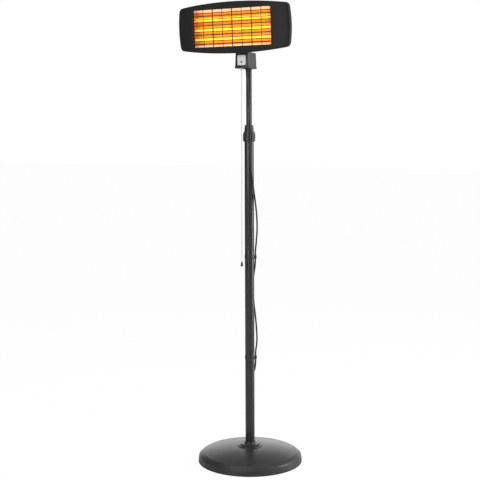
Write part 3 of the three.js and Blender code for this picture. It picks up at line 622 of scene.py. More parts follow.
def block(size, middle, easing):
    """A drawing of a box about a point, with its edges eased."""
    bm = bmesh.new()
    bmesh.ops.create_cube(bm, size=1)
    bmesh.ops.scale(bm, vec=size, verts=bm.verts)
    if easing:
        bmesh.ops.bevel(bm, geom=bm.edges[:], offset=easing, segments=2, profile=0.5,
                        affect="EDGES", material=-1)
    bmesh.ops.translate(bm, vec=middle, verts=bm.verts)
    return bm


def add_in(bm, other):
    """Joins another drawing into this one."""
    mesh = bpy.data.meshes.new("joined")
    other.to_mesh(mesh)
    other.free()
    bm.from_mesh(mesh)
    bpy.data.meshes.remove(mesh)


def eased(node, body, slot, width):
    """A model part with its sharp edges eased."""
    bm = bmesh.new()
    bm.from_mesh(frame["nodes"][node].data)
    bmesh.ops.remove_doubles(bm, verts=bm.verts, dist=1e-6)
    bmesh.ops.scale(bm, vec=(1 / MM, 1 / MM, 1 / MM), verts=bm.verts)
    bmesh.ops.dissolve_limit(bm, angle_limit=math.radians(1.5), verts=bm.verts, edges=bm.edges)
    corner = math.radians(38)
    sharp = [e for e in bm.edges if len(e.link_faces) == 2 and e.calc_face_angle() > corner]
    bmesh.ops.bevel(bm, geom=sharp, offset=width, segments=2, profile=0.5,
                    affect="EDGES", material=-1, clamp_overlap=True)
    bmesh.ops.triangulate(bm, faces=[f for f in bm.faces if len(f.verts) > 4])
    finished(bm, f"{node}_eased", body, slot, [node], sharp=30)


# ------------------------------------------------------------------------------- cords
def on_cord_side(side, front, z):
    """The cord lies in a frame turned about the mast: side, front and height."""
    c, s = math.cos(CORD_TURN), math.sin(CORD_TURN)
    return Vector((c * side + s * front, s * side - c * front, z))


CORD_RADIUS = 0.0035
CORD_ROUTE = [
    (-0.0075, 0.0315, 1.645), (-0.007, 0.0315, 1.625), (-0.004, 0.032, 1.58), (0.0035, 0.0325, 1.46),
    (0.004, 0.031, 1.35), (0.005, 0.0275, 1.295), (0.017, 0.02, 1.188), (0.026, 0.0105, 1.12),
    (0.0315, 0.0035, 1.06), (0.0326, 0.0005, 1.01), (0.0286, 0, 0.95), (0.0253, 0, 0.918),
    (0.025, 0, 0.9), (0.025, 0, 0.88), (0.0226, -0.011, 0.845), (0.013, -0.0228, 0.765),
    (0.017, -0.02, 0.705), (0.029, -0.0025, 0.585), (0.0305, 0, 0.525), (0.0252, 0, 0.48),
    (0.025, 0, 0.466), (0.025, 0, 0.443), (0.024, -0.005, 0.424), (0.0205, -0.0155, 0.398),
    (0.011, -0.024, 0.372), (0.005, -0.0255, 0.31), (0.004, -0.026, 0.14), (0.004, -0.031, 0.104),
    (0.004, -0.05, 0.08), (0.004, -0.085, 0.0694), (0.004, -0.135, 0.0614), (0.004, -0.18, 0.0514),
    (0.007, -0.215, 0.0424), (0.009, -0.227, 0.034), (0.011, -0.2365, 0.0225), (0.0125, -0.2455, 0.0118),
    (0.0125, -0.256, 0.0054), (0.0087, -0.27, 0.0038), (-0.0015, -0.2805, 0.0037),
    (-0.0155, -0.2843, 0.0037), (-0.045, -0.2753, 0.0037),
]
TAIL_ROUTE = [
    (-0.0306, -0.2359, 0.0052), (-0.02, -0.2398, 0.008), (-0.0098, -0.2463, 0.0106),
    (-0.0033, -0.2565, 0.012), (-0.0016, -0.2661, 0.0125), (-0.0014, -0.288, 0.0134),
    (0, -0.319, 0.018), (0, -0.3297, 0.0187),
]
HANK_MIDDLE = Vector((-0.0831, -0.2391))
HANK_SLANT = math.radians(20)
HANK_ALONG = Vector((math.cos(HANK_SLANT), -math.sin(HANK_SLANT)))
HANK_ACROSS = Vector((HANK_ALONG.y, -HANK_ALONG.x))
HANK_HALF_RUN = 0.0305
HANK_FOLD = 0.021
HANK_HEIGHT = 0.0037


def hank_point(along, across, z):
    spot = HANK_MIDDLE + HANK_ALONG * along + HANK_ACROSS * across
    return (spot.x, spot.y, z)


def hank_turns():
    """The far run of the hank, its fold and its near run."""
    points = [hank_point(HANK_HALF_RUN * (1 - k / 4), HANK_FOLD, HANK_HEIGHT) for k in range(1, 9)]
    for k in range(1, 8):
        turn = math.pi * k / 8
        points.append(hank_point(-HANK_HALF_RUN - HANK_FOLD * math.sin(turn),
                                 HANK_FOLD * math.cos(turn), HANK_HEIGHT))
    for k in range(9):
        points.append(hank_point(HANK_HALF_RUN * (k / 4 - 1), -HANK_FOLD, HANK_HEIGHT))
    return points


def smooth_route(points, spacing):
    """A centripetal Catmull-Rom curve through the points, sampled at about the spacing."""
    first = points[0] * 2 - points[1]
    last = points[-1] * 2 - points[-2]
    guides = [first, *points, last]
    result = []
    for p0, p1, p2, p3 in zip(guides, guides[1:], guides[2:], guides[3:]):
        t1 = (p1 - p0).length ** 0.5
        t2 = t1 + (p2 - p1).length ** 0.5
        t3 = t2 + (p3 - p2).length ** 0.5
        count = max(1, round((p2 - p1).length / spacing))
        for k in range(count):
            t = t1 + (t2 - t1) * k / count
            a1 = p0.lerp(p1, t / t1)
            a2 = p1.lerp(p2, (t - t1) / (t2 - t1))
            a3 = p2.lerp(p3, (t - t2) / (t3 - t2))
            b1 = a1.lerp(a2, t / t2)
            b2 = a2.lerp(a3, (t - t1) / (t3 - t1))
            result.append(b1.lerp(b2, (t - t1) / (t2 - t1)))
    result.append(points[-1])
    return result


def cord_curve(name, points, radius):
    """A round cord as a curve of one open spline."""
    curve = bpy.data.curves.new(name, "CURVE")
    curve.dimensions = "3D"
    curve.twist_mode = "MINIMUM"
    curve.bevel_depth = radius
    curve.bevel_resolution = 4
    curve.use_fill_caps = True
    spline = curve.splines.new("POLY")
    spline.points.add(len(points) - 1)
    for point, place in zip(spline.points, points):
        point.co = (*place, 1.0)
    return bpy.data.objects.new(name, curve)


def cord_tube(name, points, radius):
    """The same cord as a closed mesh tube, for a piece that runs across a joint."""
    drawn = cord_curve(f"{name}_line", points, radius)
    SCENE.collection.objects.link(drawn)
    view = bpy.context.evaluated_depsgraph_get()
    mesh = bpy.data.meshes.new_from_object(drawn.evaluated_get(view))
    bpy.data.objects.remove(drawn)
    mesh.name = name
    return mesh


def cable_gland():
    """Moulded strain relief under the housing: a flange and a ribbed, tapering sleeve."""
    low, high = box_mm("cable_gland")
    spot = (low + high) / 2
    seat = box_mm("neck_housing")[0].z
    profile = [(0, low.z), (4.4, low.z)]
    ribs = 7
    tail = seat - 7 - low.z
    for k in range(ribs):
        z = low.z + tail * (k + 0.5) / ribs
        r = 4.6 + 2.4 * (k + 0.5) / ribs
        profile += [(r - 0.5, z - tail * 0.32 / ribs), (r, z - tail * 0.2 / ribs),
                    (r, z + tail * 0.2 / ribs), (r - 0.5, z + tail * 0.32 / ribs)]
    profile += [(7, seat - 6), (8.6, seat - 5.3), (9, seat - 4.6), (9, seat - 0.6), (8.7, seat - 0.3),
                (6, seat - 0.3), (6, high.z), (0, high.z)]
    place = Matrix.Translation((spot.x, spot.y, 0))
    return turned_piece("strain_relief", "mast", "rubber", profile, ["cable_gland"],
                        steps=40, place=place, closed=False, sharp=50)


def mains_plug():
    """Moulded plug: ribbed neck, round body and two pins."""
    tail = on_cord_side(0, -330, 18.7)
    profile = [(0, 0), (4.4, 0)]
    for k in range(4):
        z = 2 + 3.6 * k
        rib, groove = 4.9 + 0.1 * k, 4.2 + 0.1 * k
        profile += [(rib, z), (rib, z + 2), (groove, z + 2.4), (groove, z + 3.2)]
    profile += [(5.6, 17.5)]
    profile += filleted([(6.6, 19.5), (11, 24), (17.2, 31), (18.5, 37), (18.5, 57), (14, 57)],
                        [1, 4, 4, 3, 1.4, 0], closed=False)
    profile += [(13.6, 56.4), (12.8, 56.4), (12.4, 57), (0, 57)]
    bm = bmesh.new()
    turned(bm, profile, 56, closed=False)
    away = Matrix.Rotation(math.radians(-90), 4, "X")
    turn = Matrix.Rotation(CORD_TURN, 4, "Z")
    for side in (-9.5, 9.5):
        pin = [(0, 55), (2.4, 55), (2.4, 74.4), (1.9, 75.6), (1, 76), (0, 76)]
        part = bmesh.new()
        turned(part, pin, 24, closed=False)
        bmesh.ops.translate(part, vec=(side, 0, 0), verts=part.verts)
        add_in(bm, part)
    place = Matrix.Translation(tail) @ turn @ away
    return finished(bm, "round_plug", "stand", "plug_rubber", ["mains_plug"], place, sharp=40)


def hank_tie():
    """A hook-and-loop strap round the middle of the hank."""
    bottom, top = 0.15, (HANK_HEIGHT + CORD_RADIUS) / MM + 1.0
    half = HANK_FOLD / MM + CORD_RADIUS / MM + 1.2
    middle = (bottom + top) / 2
    outer = [(x, z + middle) for x, z in rounded_rectangle(2 * half, top - bottom, 3.5, 5)]
    inner = [(x, z + middle) for x, z in rounded_rectangle(2 * half - 2, top - bottom - 2, 2.5, 5)]
    bm = bmesh.new()
    loops = []
    for outline, along in ((inner, -9), (outer, -9), (outer, 9), (inner, 9), (inner, -9)):
        loops.append([(along, x, z) for x, z in outline])
    skinned(bm, loops)
    bmesh.ops.remove_doubles(bm, verts=bm.verts, dist=0.01)
    rims = [e for e in bm.edges if len(e.link_faces) == 2 and e.calc_face_angle() > 1.2]
    bmesh.ops.bevel(bm, geom=rims, offset=0.3, segments=2, profile=0.5,
                    affect="EDGES", material=-1)
    add_in(bm, block((17, 16, 1.0), (0, 6, top + 0.2), 0.35))
    centre = on_cord_side(HANK_MIDDLE.x / MM, HANK_MIDDLE.y / MM, 0)
    along = on_cord_side(HANK_ALONG.x, HANK_ALONG.y, 0)
    turn = Matrix.Rotation(math.atan2(along.y, along.x), 4, "Z")
    return finished(bm, "hank_tie", "stand", "cord_rubber", (), Matrix.Translation(centre) @ turn,
                    look="tie_strap")


def mains_cord():
    """One rubber cord from the strain relief to the plug, folded once behind the base."""
    guide = CORD_ROUTE + hank_turns() + TAIL_ROUTE
    line = smooth_route([on_cord_side(*p) for p in guide], 0.005)
    mesh = cord_tube("power_cord", line, CORD_RADIUS)
    cord = piece_of(mesh, "power_cord", None, "cord_rubber",
                    ["mains_cord", "cord_hank", "cord_tail"], sharp=60)
    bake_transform(cord)
    mains_plug()
    hank_tie()
    cable_gland()


PULL_RADIUS = 0.0013
PULL_ROUTE = [
    (-0.003, -0.059, 1.6996), (-0.003, -0.059, 1.65), (-0.0034, -0.0589, 1.54),
    (-0.004, -0.0586, 1.38), (-0.0048, -0.0583, 1.2), (-0.0056, -0.058, 1.04),
    (-0.006, -0.0578, 0.8773),
]


def pull_cord():
    """The cord that works the heat switch, with a tapered knob on its end."""
    line = smooth_route([Vector(p) for p in PULL_ROUTE], 0.012)
    obj = cord_curve("switch_cord", line, PULL_RADIUS)
    SCENE.collection.objects.link(obj)
    obj.data.materials.append(MATERIALS["pull_cord"])
    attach(obj, "pull")
    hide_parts("pull_cord")
    pull_knob()


def pull_knob():
    """Tapered grip on the end of the pull cord."""
    low, high = box_mm("pull_knob")
    x, y = (low.x + high.x) / 2, (low.y + high.y) / 2
    height = high.z - low.z
    outline = [(0, 0), (3.8, 0), (5.4, 1.6), (5.8, 4), (4.6, 11), (3.4, 17), (2.9, height - 0.6),
               (1.6, height), (0, height)]
    profile = filleted(outline, [0, 0.8, 1.2, 1.5, 3, 3, 0.5, 0.5, 0], closed=False)
    place = Matrix.Translation((x, y, low.z))
    return turned_piece("pull_bell", "pull", "black_plastic", profile, ["pull_knob"], 40, place, False)


LINK_RADIUS = 0.003
LINK_ROUTE = [
    (0, 0.008, 1.7483), (0, 0.0095, 1.772), (0, 0.009, 1.8), (0, 0.001, 1.83), (0, -0.014, 1.851),
    (0, -0.034, 1.8625), (0, -0.05, 1.865), (0, -0.0624, 1.8648),
]


def link_lead():
    """The short slack lead from the housing to the head, held at both ends."""
    line = smooth_route([Vector(p) for p in LINK_ROUTE], 0.004)
    mesh = cord_tube("head_lead", line, LINK_RADIUS)
    lead = piece_of(mesh, "head_lead", None, "cord_rubber", ["link_lead"], sharp=60)
    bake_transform(lead)


mains_cord()
pull_cord()
link_lead()


# -------------------------------------------------------------------------------- base
DOME_FALL = 1.6
DOME_FOOT = 193.0
DOME_STEPS = 18
HUB_BORE = 21.8
MAST_RADIUS = 20.0
MAST_BORE = 20.3


def dome_height(radius, foot, top):
    """The dome falls away from its middle by a power of the distance."""
    out = (radius - top[0]) / (foot[0] - top[0])
    return top[1] - (top[1] - foot[1]) * out ** DOME_FALL


def base_cover():
    """Spun steel cover: a leaning skirt, a sloping ledge, a low dome and a raised hub."""
    low, high = box_mm("base_cover")
    rim = high.x
    wall = 2.0
    shoulder = (200.0, 41.0)
    crown = (54.0, high.z - 3.5)
    skirt_top = 24.0
    skirt = [(rim - 2, low.z), (rim, low.z + 0.4), (rim - 0.3, 4), (rim - 2.8, 24.8)]
    ledge = [(218.4, 27.2), (215.5, 31), (211, 34.9)]
    dome_edge = [(shoulder[0], shoulder[1] + 0.1), (195, shoulder[1] + 1.2)]
    outside = filleted(skirt + ledge + dome_edge, [0, 0.3, 2, 1.0, 1.2, 2, 4, 4, 0], closed=False)
    for k in range(1, DOME_STEPS + 1):
        radius = DOME_FOOT - (DOME_FOOT - crown[0]) * k / DOME_STEPS
        outside.append((radius, dome_height(radius, shoulder, crown)))
    hub = filleted([crown, (52.8, crown[1] + 0.2), (52.4, high.z), (HUB_BORE, high.z)],
                   [0, 0.5, 1.2, 0], closed=False)[1:]
    inside = [(HUB_BORE, high.z - wall), (crown[0] - 3, high.z - wall), (crown[0], crown[1] - wall)]
    for radius in (90, 125, 160, 190):
        inside.append((radius, dome_height(radius, shoulder, crown) - wall))
    inside += [(204, 37), (rim - 3 - wall, skirt_top - wall), (rim - wall - 0.4, low.z)]
    turned_piece("spun_cover", "stand", "base_paint", outside + hub + inside,
                 ["base_cover"], 128, sharp=40)


def pole_socket():
    """Stepped ring round the foot of the mast."""
    low, high = box_mm("pole_socket")
    reach = high.x
    bore = MAST_BORE
    shelf = low.z + 5.2
    outline = [(bore, low.z), (reach, low.z), (reach, shelf - 1), (reach - 2, shelf), (bore + 5, shelf + 0.5),
               (bore + 3.9, shelf + 3), (bore + 3.2, high.z), (bore, high.z)]
    profile = filleted(outline, [0, 0.3, 0.6, 0.8, 1.0, 1, 0.7, 0.3])
    turned_piece("socket_ring", "stand", "base_paint", profile, ["pole_socket"], 72)


def foot_ring():
    """Rubber ring with two treads."""
    low, high = box_mm("foot_ring")
    outer = high.x
    inner = outer - 26
    outline = [(inner, low.z), (inner + 7, low.z), (inner + 8.5, low.z + 0.8), (outer - 8.5, low.z + 0.8),
               (outer - 7, low.z), (outer, low.z), (outer - 2, high.z), (inner + 2, high.z)]
    turned_piece("rubber_foot", "stand", "rubber", filleted(outline, 0.5, 3), ["foot_ring"], 96)


base_cover()
pole_socket()
foot_ring()


# -------------------------------------------------------------------------------- mast
def mast_tube(node):
    """One of the three painted lengths of the outer mast."""
    low, high = box_mm(node)
    outer, wall = MAST_RADIUS, 1.7
    outline = [(outer - wall, low.z), (outer, low.z), (outer, high.z), (outer - wall, high.z)]
    profile = filleted(outline, [0.3, 0.9, 0.9, 0.3], 3)
    turned_piece(f"{node}_drawn", "stand", "mast_paint", profile, [node], 72)


def inner_mast():
    """The thinner tube that slides in the outer mast."""
    low, high = box_mm("inner_mast")
    outer, wall = 12.5, 1.5
    outline = [(outer - wall, low.z), (outer, low.z), (outer, high.z), (outer - wall, high.z)]
    turned_piece("sliding_mast", "mast", "mast_paint", filleted(outline, 0.4, 3), ["inner_mast"], 64)


def lock_sleeve():
    """The sleeve on top of the outer mast, with a lip below the nut."""
    low, high = box_mm("lock_sleeve")
    bore = MAST_BORE
    seat = low.z + 10.3
    outline = [(bore, low.z), (24.4, low.z + 1.3), (25.6, low.z + 3), (25.6, low.z + 4.4), (23, low.z + 4.4),
               (22.6, high.z), (13.5, high.z), (13.5, seat), (bore, seat)]
    profile = filleted(outline, [0.3, 0.8, 0.6, 0.5, 0.3, 0.4, 0.3, 0.3, 0.3], 3)
    turned_piece("clamp_sleeve", "stand", "black_plastic", profile, ["lock_sleeve"], 72)


GRIP_RIBS = 20


def collar_nut():
    """The twist-lock nut: a ribbed grip below a step, and a tapered throat above it."""
    low, high = box_mm("collar_nut")
    base = low.z
    step = base + 36
    outline = [(23.4, base), (26.0, base), (25.4, base + 3.4), (24.9, base + 26), (24.6, step),
               (20.6, step), (20.4, step + 4), (17.9, high.z - 1.5), (17.2, high.z),
               (13.5, high.z), (13.5, high.z - 7), (16, high.z - 7), (18.6, base + 27.4), (23.2, base + 27.4)]
    profile = filleted(outline, [0.4, 1.2, 0.5, 1.5, 1.2, 1.0, 0.8, 1.5, 0.6, 0.4, 0, 0, 0, 0], 3)
    bm = bmesh.new()
    steps = GRIP_RIBS * 6
    turned(bm, profile, steps)
    merged(bm)
    grip = []
    for face in bm.faces:
        spot = face.calc_center_median()
        outside = math.hypot(spot.x, spot.y) > 24.7 and face.normal.z < 0.5
        if not (outside and base + 4 < spot.z < base + 26):
            continue
        share = (math.degrees(math.atan2(spot.y, spot.x)) % (360 / GRIP_RIBS)) * GRIP_RIBS / 360
        if share < 0.5:
            grip.append(face)
    bmesh.ops.inset_region(bm, faces=grip, thickness=0.5, depth=1.0, use_even_offset=True)
    finished(bm, "twist_nut", "collar", "black_plastic", ["collar_nut"], sharp=30)


for tube in ("mast_lower_tube", "mast_middle_tube", "mast_upper_tube"):
    mast_tube(tube)
inner_mast()
lock_sleeve()
collar_nut()
for clip in ("cable_clip_upper", "cable_clip_lower"):
    eased(clip, "stand", "black_plastic", 0.35)


# --------------------------------------------------------------------- switch housing
NECK_REAR = 32.0
NECK_CORNER = 5.0
NECK_FRONT = 66.0
NECK_DRAW = 29.2 / 32.0


def neck_loop(low, high, inset, z):
    """The housing's plan at a height: round behind the mast, with rounded front corners."""
    rear = NECK_REAR - inset
    corner = NECK_CORNER - inset
    centre = NECK_REAR - NECK_CORNER
    front = -NECK_FRONT + NECK_CORNER
    plan = arc((0, 0), rear, 0, 180, 32)
    plan += arc((-centre, front), corner, 180, 270, 8)
    plan += arc((centre, front), corner, 270, 360, 8)
    height = (z - low) / (high - low)
    narrow = 1 + (NECK_DRAW - 1) * height
    return [(x * narrow, y * (narrow if y > 0 else 1), z) for x, y in plan]


def neck_housing():
    """Moulded switch housing: a raised lip round its foot, drawn sides and a soft top."""
    low, high = box_mm("neck_housing")
    foot, top = low.z, high.z
    lip = foot + 10
    rows = [(-0.9, foot), (-1.2, foot + 0.4), (-1.2, lip - 1.2), (-1.0, lip - 0.5), (0.0, lip + 0.2)]
    rows += [(0.0, lip + (top - 5 - lip) * k / 6) for k in range(1, 7)]
    for turn in (20, 40, 60, 80, 90):
        angle = math.radians(turn)
        rows.append((4 * (1 - math.cos(angle)), top - 4 + 4 * math.sin(angle)))
    bm = bmesh.new()
    skinned(bm, [neck_loop(foot, top, inset, z) for inset, z in rows], cap_end=True)
    merged(bm)
    if max(bm.faces, key=lambda f: f.calc_center_median().z).normal.z < 0:
        bmesh.ops.reverse_faces(bm, faces=bm.faces)
    cut_slot(bm, top)
    body = finished(bm, "switch_body", "mast", "black_plastic", ["neck_housing"], sharp=32)
    thickened(body, 2.5)


def cut_slot(bm, top):
    """Opens the slot in the top that the tilt yoke's tongue rises through."""
    tongue = middle_mm("tilt_bolt").y
    half_x, half_y = 21, 9
    cuts = [((half_x, 0, 0), (1, 0, 0)), ((-half_x, 0, 0), (1, 0, 0)),
            ((0, tongue + half_y, 0), (0, 1, 0)), ((0, tongue - half_y, 0), (0, 1, 0))]
    for point, normal in cuts:
        lid = [f for f in bm.faces if f.calc_center_median().z > top - 0.01]
        edges = {e for f in lid for e in f.edges}
        verts = {v for f in lid for v in f.verts}
        bmesh.ops.bisect_plane(bm, geom=[*lid, *edges, *verts], plane_co=point, plane_no=normal,
                               dist=0.001)
    inside = [f for f in bm.faces if f.calc_center_median().z > top - 0.01
              and abs(f.calc_center_median().x) < half_x
              and abs(f.calc_center_median().y - tongue) < half_y]
    bmesh.ops.delete(bm, geom=inside, context="FACES")


def switch_plate():
    """Pale plate with eased edges, a shallow panel and moulded bars on it."""
    low, high = box_mm("switch_plate")
    middle = (low + high) / 2
    width, height = high.x - low.x, high.z - low.z
    bm = bmesh.new()
    rows = [(0, 1.5), (0, 0.9), (0.25, 0.3), (0.9, 0.0), (3.2, 0.0), (3.6, 0.35)]
    loops = []
    for inset, depth in rows:
        shape = rounded_rectangle(width - 2 * inset, height - 2 * inset, max(4.5 - inset, 1.2))
        loops.append([(x, depth, z) for x, z in shape])
    skinned(bm, loops, cap_start=True, cap_end=True)
    for k in range(4):
        add_in(bm, block((width * 0.55, 0.5, 1.5), (0, 0.3, height * 0.33 - 4.2 * k), 0.18))
    place = Matrix.Translation((middle.x, low.y, middle.z))
    finished(bm, "switch_cover", "mast", "switch_plate", ["switch_plate"], place, sharp=32)


def plate_screw():
    """Pan-head screw with a cross slot."""
    low, high = box_mm("plate_screw")
    middle = (low + high) / 2
    profile = [(0, 0.15), (1.2, 0.05), (2.6, 0.1), (3.5, 0.45), (4, 0.95), (4, 1.25), (2, 1.25),
               (2, 5.6), (0, 6)]
    bm = bmesh.new()
    turned(bm, profile, 40, closed=False)
    for turn in (0, 90):
        slot = block((4.2, 0.9, 0.2), (0, 0, 0.06), 0)
        spin = Matrix.Rotation(math.radians(turn), 3, "Z")
        bmesh.ops.rotate(slot, cent=(0, 0, 0), matrix=spin, verts=slot.verts)
        add_in(bm, slot)
    face = Matrix.Rotation(math.radians(-90), 4, "X")
    place = Matrix.Translation((middle.x, low.y, middle.z)) @ face
    finished(bm, "cross_screw", "mast", "black_plastic", ["plate_screw"], place)


def cord_ferrule():
    """Eyelet where the pull cord leaves the housing."""
    low, high = box_mm("cord_ferrule")
    middle = (low + high) / 2
    outline = [(1.8, low.z), (2.4, low.z), (3.1, low.z + 1.2), (3.1, high.z), (1.8, high.z)]
    place = Matrix.Translation((middle.x, middle.y, 0))
    turned_piece("cord_guide", "mast", "zinc_steel", filleted(outline, 0.3, 3),
                 ["cord_ferrule"], 32, place)


neck_housing()
switch_plate()
plate_screw()
cord_ferrule()
eased("neck_base", "mast", "black_plastic", 0.3)
eased("tilt_yoke", "mast", "bracket_steel", 0.6)


# -------------------------------------------------------------------------------- head
BEZEL = {
    "half_length": 255.5, "half_height": 103.0, "top_bulge": 1730.0, "end_bulge": 457.0, "corner": 20.0,
}
FLAT_HALF = 150.0
WING_BEND = 400.0
BEZEL_FRONT = -3.0
BEZEL_BACK = 30.0
OPENING = (354.0, 148.4)


def wing_sweep(x):
    """How far the ends of the bezel sweep back."""
    beyond = max(abs(x) - FLAT_HALF, 0.0)
    return WING_BEND - math.sqrt(WING_BEND ** 2 - beyond ** 2)


def meeting_point(a, ra, b, rb):
    """Where two circles meet, on the side of larger X and Z."""
    a, b = Vector(a), Vector(b)
    distance = (b - a).length
    along = (distance ** 2 + ra ** 2 - rb ** 2) / (2 * distance)
    across = math.sqrt(ra ** 2 - along ** 2)
    unit = (b - a) / distance
    normal = Vector((-unit.y, unit.x))
    meets = [a + unit * along + normal * across, a + unit * along - normal * across]
    return max(meets, key=lambda p: p.x + p.y)


SIDE_STEPS = 8
CORNER_STEPS = 8
LONG_STEPS = 28


def bezel_outline(inset):
    """The bezel's barrel outline, a quarter at a time: end, corner, long side."""
    left = BEZEL["half_length"] - BEZEL["end_bulge"]
    low = BEZEL["half_height"] - BEZEL["top_bulge"]
    corner = BEZEL["corner"]
    spot = meeting_point((0, low), BEZEL["top_bulge"] - corner,
                         (left, 0), BEZEL["end_bulge"] - corner)
    side = math.degrees(math.atan2(spot.y, spot.x - left))
    upper = math.degrees(math.atan2(spot.y - low, spot.x))
    quarter = arc((left, 0), BEZEL["end_bulge"] - inset, 0, side, SIDE_STEPS)[:-1]
    quarter += arc(spot, corner - inset, side, upper, CORNER_STEPS)[:-1]
    quarter += arc((0, low), BEZEL["top_bulge"] - inset, upper, 90, LONG_STEPS)
    return four_quarters(quarter)


def opening_outline(grow):
    """The opening's outline, grown by that much, with as many points as the bezel's."""
    width, height = OPENING[0] / 2 + grow, OPENING[1] / 2 + grow
    corner = 4.0 + grow
    quarter = [(width, (height - corner) * k / SIDE_STEPS) for k in range(SIDE_STEPS)]
    quarter += arc((width - corner, height - corner), corner, 0, 90, CORNER_STEPS)[:-1]
    quarter += [((width - corner) * (1 - k / LONG_STEPS), height) for k in range(LONG_STEPS + 1)]
    return four_quarters(quarter)


def four_quarters(quarter):
    """Mirrors a quarter outline, from +X to +Z, into a whole one."""
    second = [(-x, z) for x, z in reversed(quarter[:-1])]
    upper = quarter + second
    lower = [(x, -z) for x, z in reversed(upper[1:-1])]
    return upper + lower


def on_face(outline, back):
    """Lays an outline on the bezel's swept face, that far behind it."""
    return [(x, BEZEL_FRONT + wing_sweep(x) + back, z) for x, z in outline]


def bezel():
    """Pressed front: swept wings, a rolled outer edge and a turned-in lip at the opening."""
    edge = 6.0
    loops = [[(x, 2.0, z) for x, z in opening_outline(0)]]
    loops += [on_face(opening_outline(0.0), 1.4), on_face(opening_outline(0.4), 0.4),
              on_face(opening_outline(1.4), 0.0)]
    inner, outer = opening_outline(1.4), bezel_outline(edge)
    for k in range(1, 11):
        t = k / 10
        blended = [(a[0] + (b[0] - a[0]) * t, a[1] + (b[1] - a[1]) * t)
                   for a, b in zip(inner, outer)]
        loops.append(on_face(blended, 0.0))
    for turn in (15, 30, 45, 60, 75, 90):
        angle = math.radians(turn)
        outline = bezel_outline(edge * (1 - math.sin(angle)))
        loops.append(on_face(outline, edge * (1 - math.cos(angle))))
    loops.append([(x, BEZEL_BACK, z) for x, z in bezel_outline(0)])
    bm = bmesh.new()
    skinned(bm, loops)
    merged(bm)
    front = min(bm.faces, key=lambda f: (f.calc_center_median() - Vector((200, 0, 0))).length)
    if front.normal.y > 0:
        bmesh.ops.reverse_faces(bm, faces=bm.faces)
    mesh = mesh_in_metres(bm, "front_bezel", HEAD)
    thickened(piece_of(mesh, "front_bezel", "head", "bezel_paint", ["bezel"]), 2.0)


GRILLE_ROWS = 12
GRILLE_COLUMNS = 8
WIRE_RADIUS = 1.6
FRAME_WIRE = 1.3


def grille():
    """Welded guard: level wires in front, upright ones behind, on a bent wire frame."""
    bm = bmesh.new()
    half_width, half_height = OPENING[0] / 2 + 3, OPENING[1] / 2 + 3
    front = 2.3 + WIRE_RADIUS
    for row in range(1, GRILLE_ROWS):
        z = OPENING[1] * (row / GRILLE_ROWS - 0.5)
        rod(bm, WIRE_RADIUS, (-half_width, front, z), (half_width, front, z))
    for column in range(1, GRILLE_COLUMNS):
        x = OPENING[0] * (column / GRILLE_COLUMNS - 0.5)
        radius = 1.3 if column % 2 else 2.0
        rod(bm, radius, (x, front + 1.8, -half_height), (x, front + 1.8, half_height))
    for side in (-1, 1):
        x, z = side * half_width, side * half_height
        rod(bm, FRAME_WIRE, (x, front, -half_height), (x, front, half_height))
        rod(bm, FRAME_WIRE, (-half_width, front, z), (half_width, front, z))
    finished(bm, "wire_guard", "head", "guard_wire", ["grille"], HEAD)


REFLECTOR_REACH = 178.0
SHEET = 0.8
FLARE_TOP = [(9, 78), (15, 73), (22, 67), (27, 62.5), (30, 59)]
FLARE_BOTTOM = [(27, -64.5), (22, -68.5), (15, -73.5), (9, -78)]


def reflector_section():
    """The sheet's front face from top to bottom: a shallow trough behind each lamp."""
    section = list(FLARE_TOP)
    for k in range(49):
        z = 56.5 - 120 * k / 48
        trough = math.sin(math.pi * (z - LAMP_HEIGHTS["middle"]) / 40) ** 2
        section.append((37 - 5 * trough, z))
    return section + FLARE_BOTTOM


def sheet_back(section):
    """The same line, one sheet thickness further back."""
    back = []
    for i, (y, z) in enumerate(section):
        before, after = section[max(i - 1, 0)], section[min(i + 1, len(section) - 1)]
        along = Vector((after[0] - before[0], after[1] - before[1])).normalized()
        back.append((y - along.y * SHEET, z + along.x * SHEET))
    return back


def reflector_end(side):
    """A thin plate that closes one end, with a hole for each lamp."""
    bm = bmesh.new()
    x = side * (REFLECTOR_REACH - 1.2)
    holes = [[(y + LAMP_DEPTH, z + middle) for y, z in arc((0, 0), 6.8, 0, 345, 24)]
             for middle in LAMP_HEIGHTS.values()]
    edges = []
    for outline in [FLARE_TOP + [(37, 48), (37, -50)] + FLARE_BOTTOM, *holes]:
        verts = [bm.verts.new((x, y, z)) for y, z in outline]
        edges += [bm.edges.new((verts[i - 1], verts[i])) for i in range(len(verts))]
    bmesh.ops.triangle_fill(bm, use_beauty=True, edges=edges)
    raised = bmesh.ops.extrude_face_region(bm, geom=bm.faces[:])
    moved = [v for v in raised["geom"] if isinstance(v, bmesh.types.BMVert)]
    bmesh.ops.translate(bm, vec=(side * 1.0, 0, 0), verts=moved)
    return bm


def reflector():
    """Polished sheet with two flared lips, closed by a plate at each end."""
    front = reflector_section()
    back = sheet_back(front)
    bm = bmesh.new()
    ring = front + back[::-1]
    rows = [[bm.verts.new((x, y, z)) for y, z in ring] for x in (-REFLECTOR_REACH, REFLECTOR_REACH)]
    for i in range(len(ring)):
        bm.faces.new((rows[0][i - 1], rows[0][i], rows[1][i], rows[1][i - 1]))
    last = len(ring) - 1
    for row in rows:
        for i in range(len(front) - 1):
            bm.faces.new((row[i], row[i + 1], row[last - i - 1], row[last - i]))
    bmesh.ops.recalc_face_normals(bm, faces=bm.faces)
    for side in (-1, 1):
        add_in(bm, reflector_end(side))
    finished(bm, "polished_reflector", "head", "reflector", ["reflector"], HEAD, sharp=25)


def lamp_place(z):
    """Where a lamp lies in the head, with its axis along the head."""
    return HEAD @ Matrix.Translation((0, LAMP_DEPTH, z)) @ Matrix.Rotation(math.radians(90), 4, "Y")


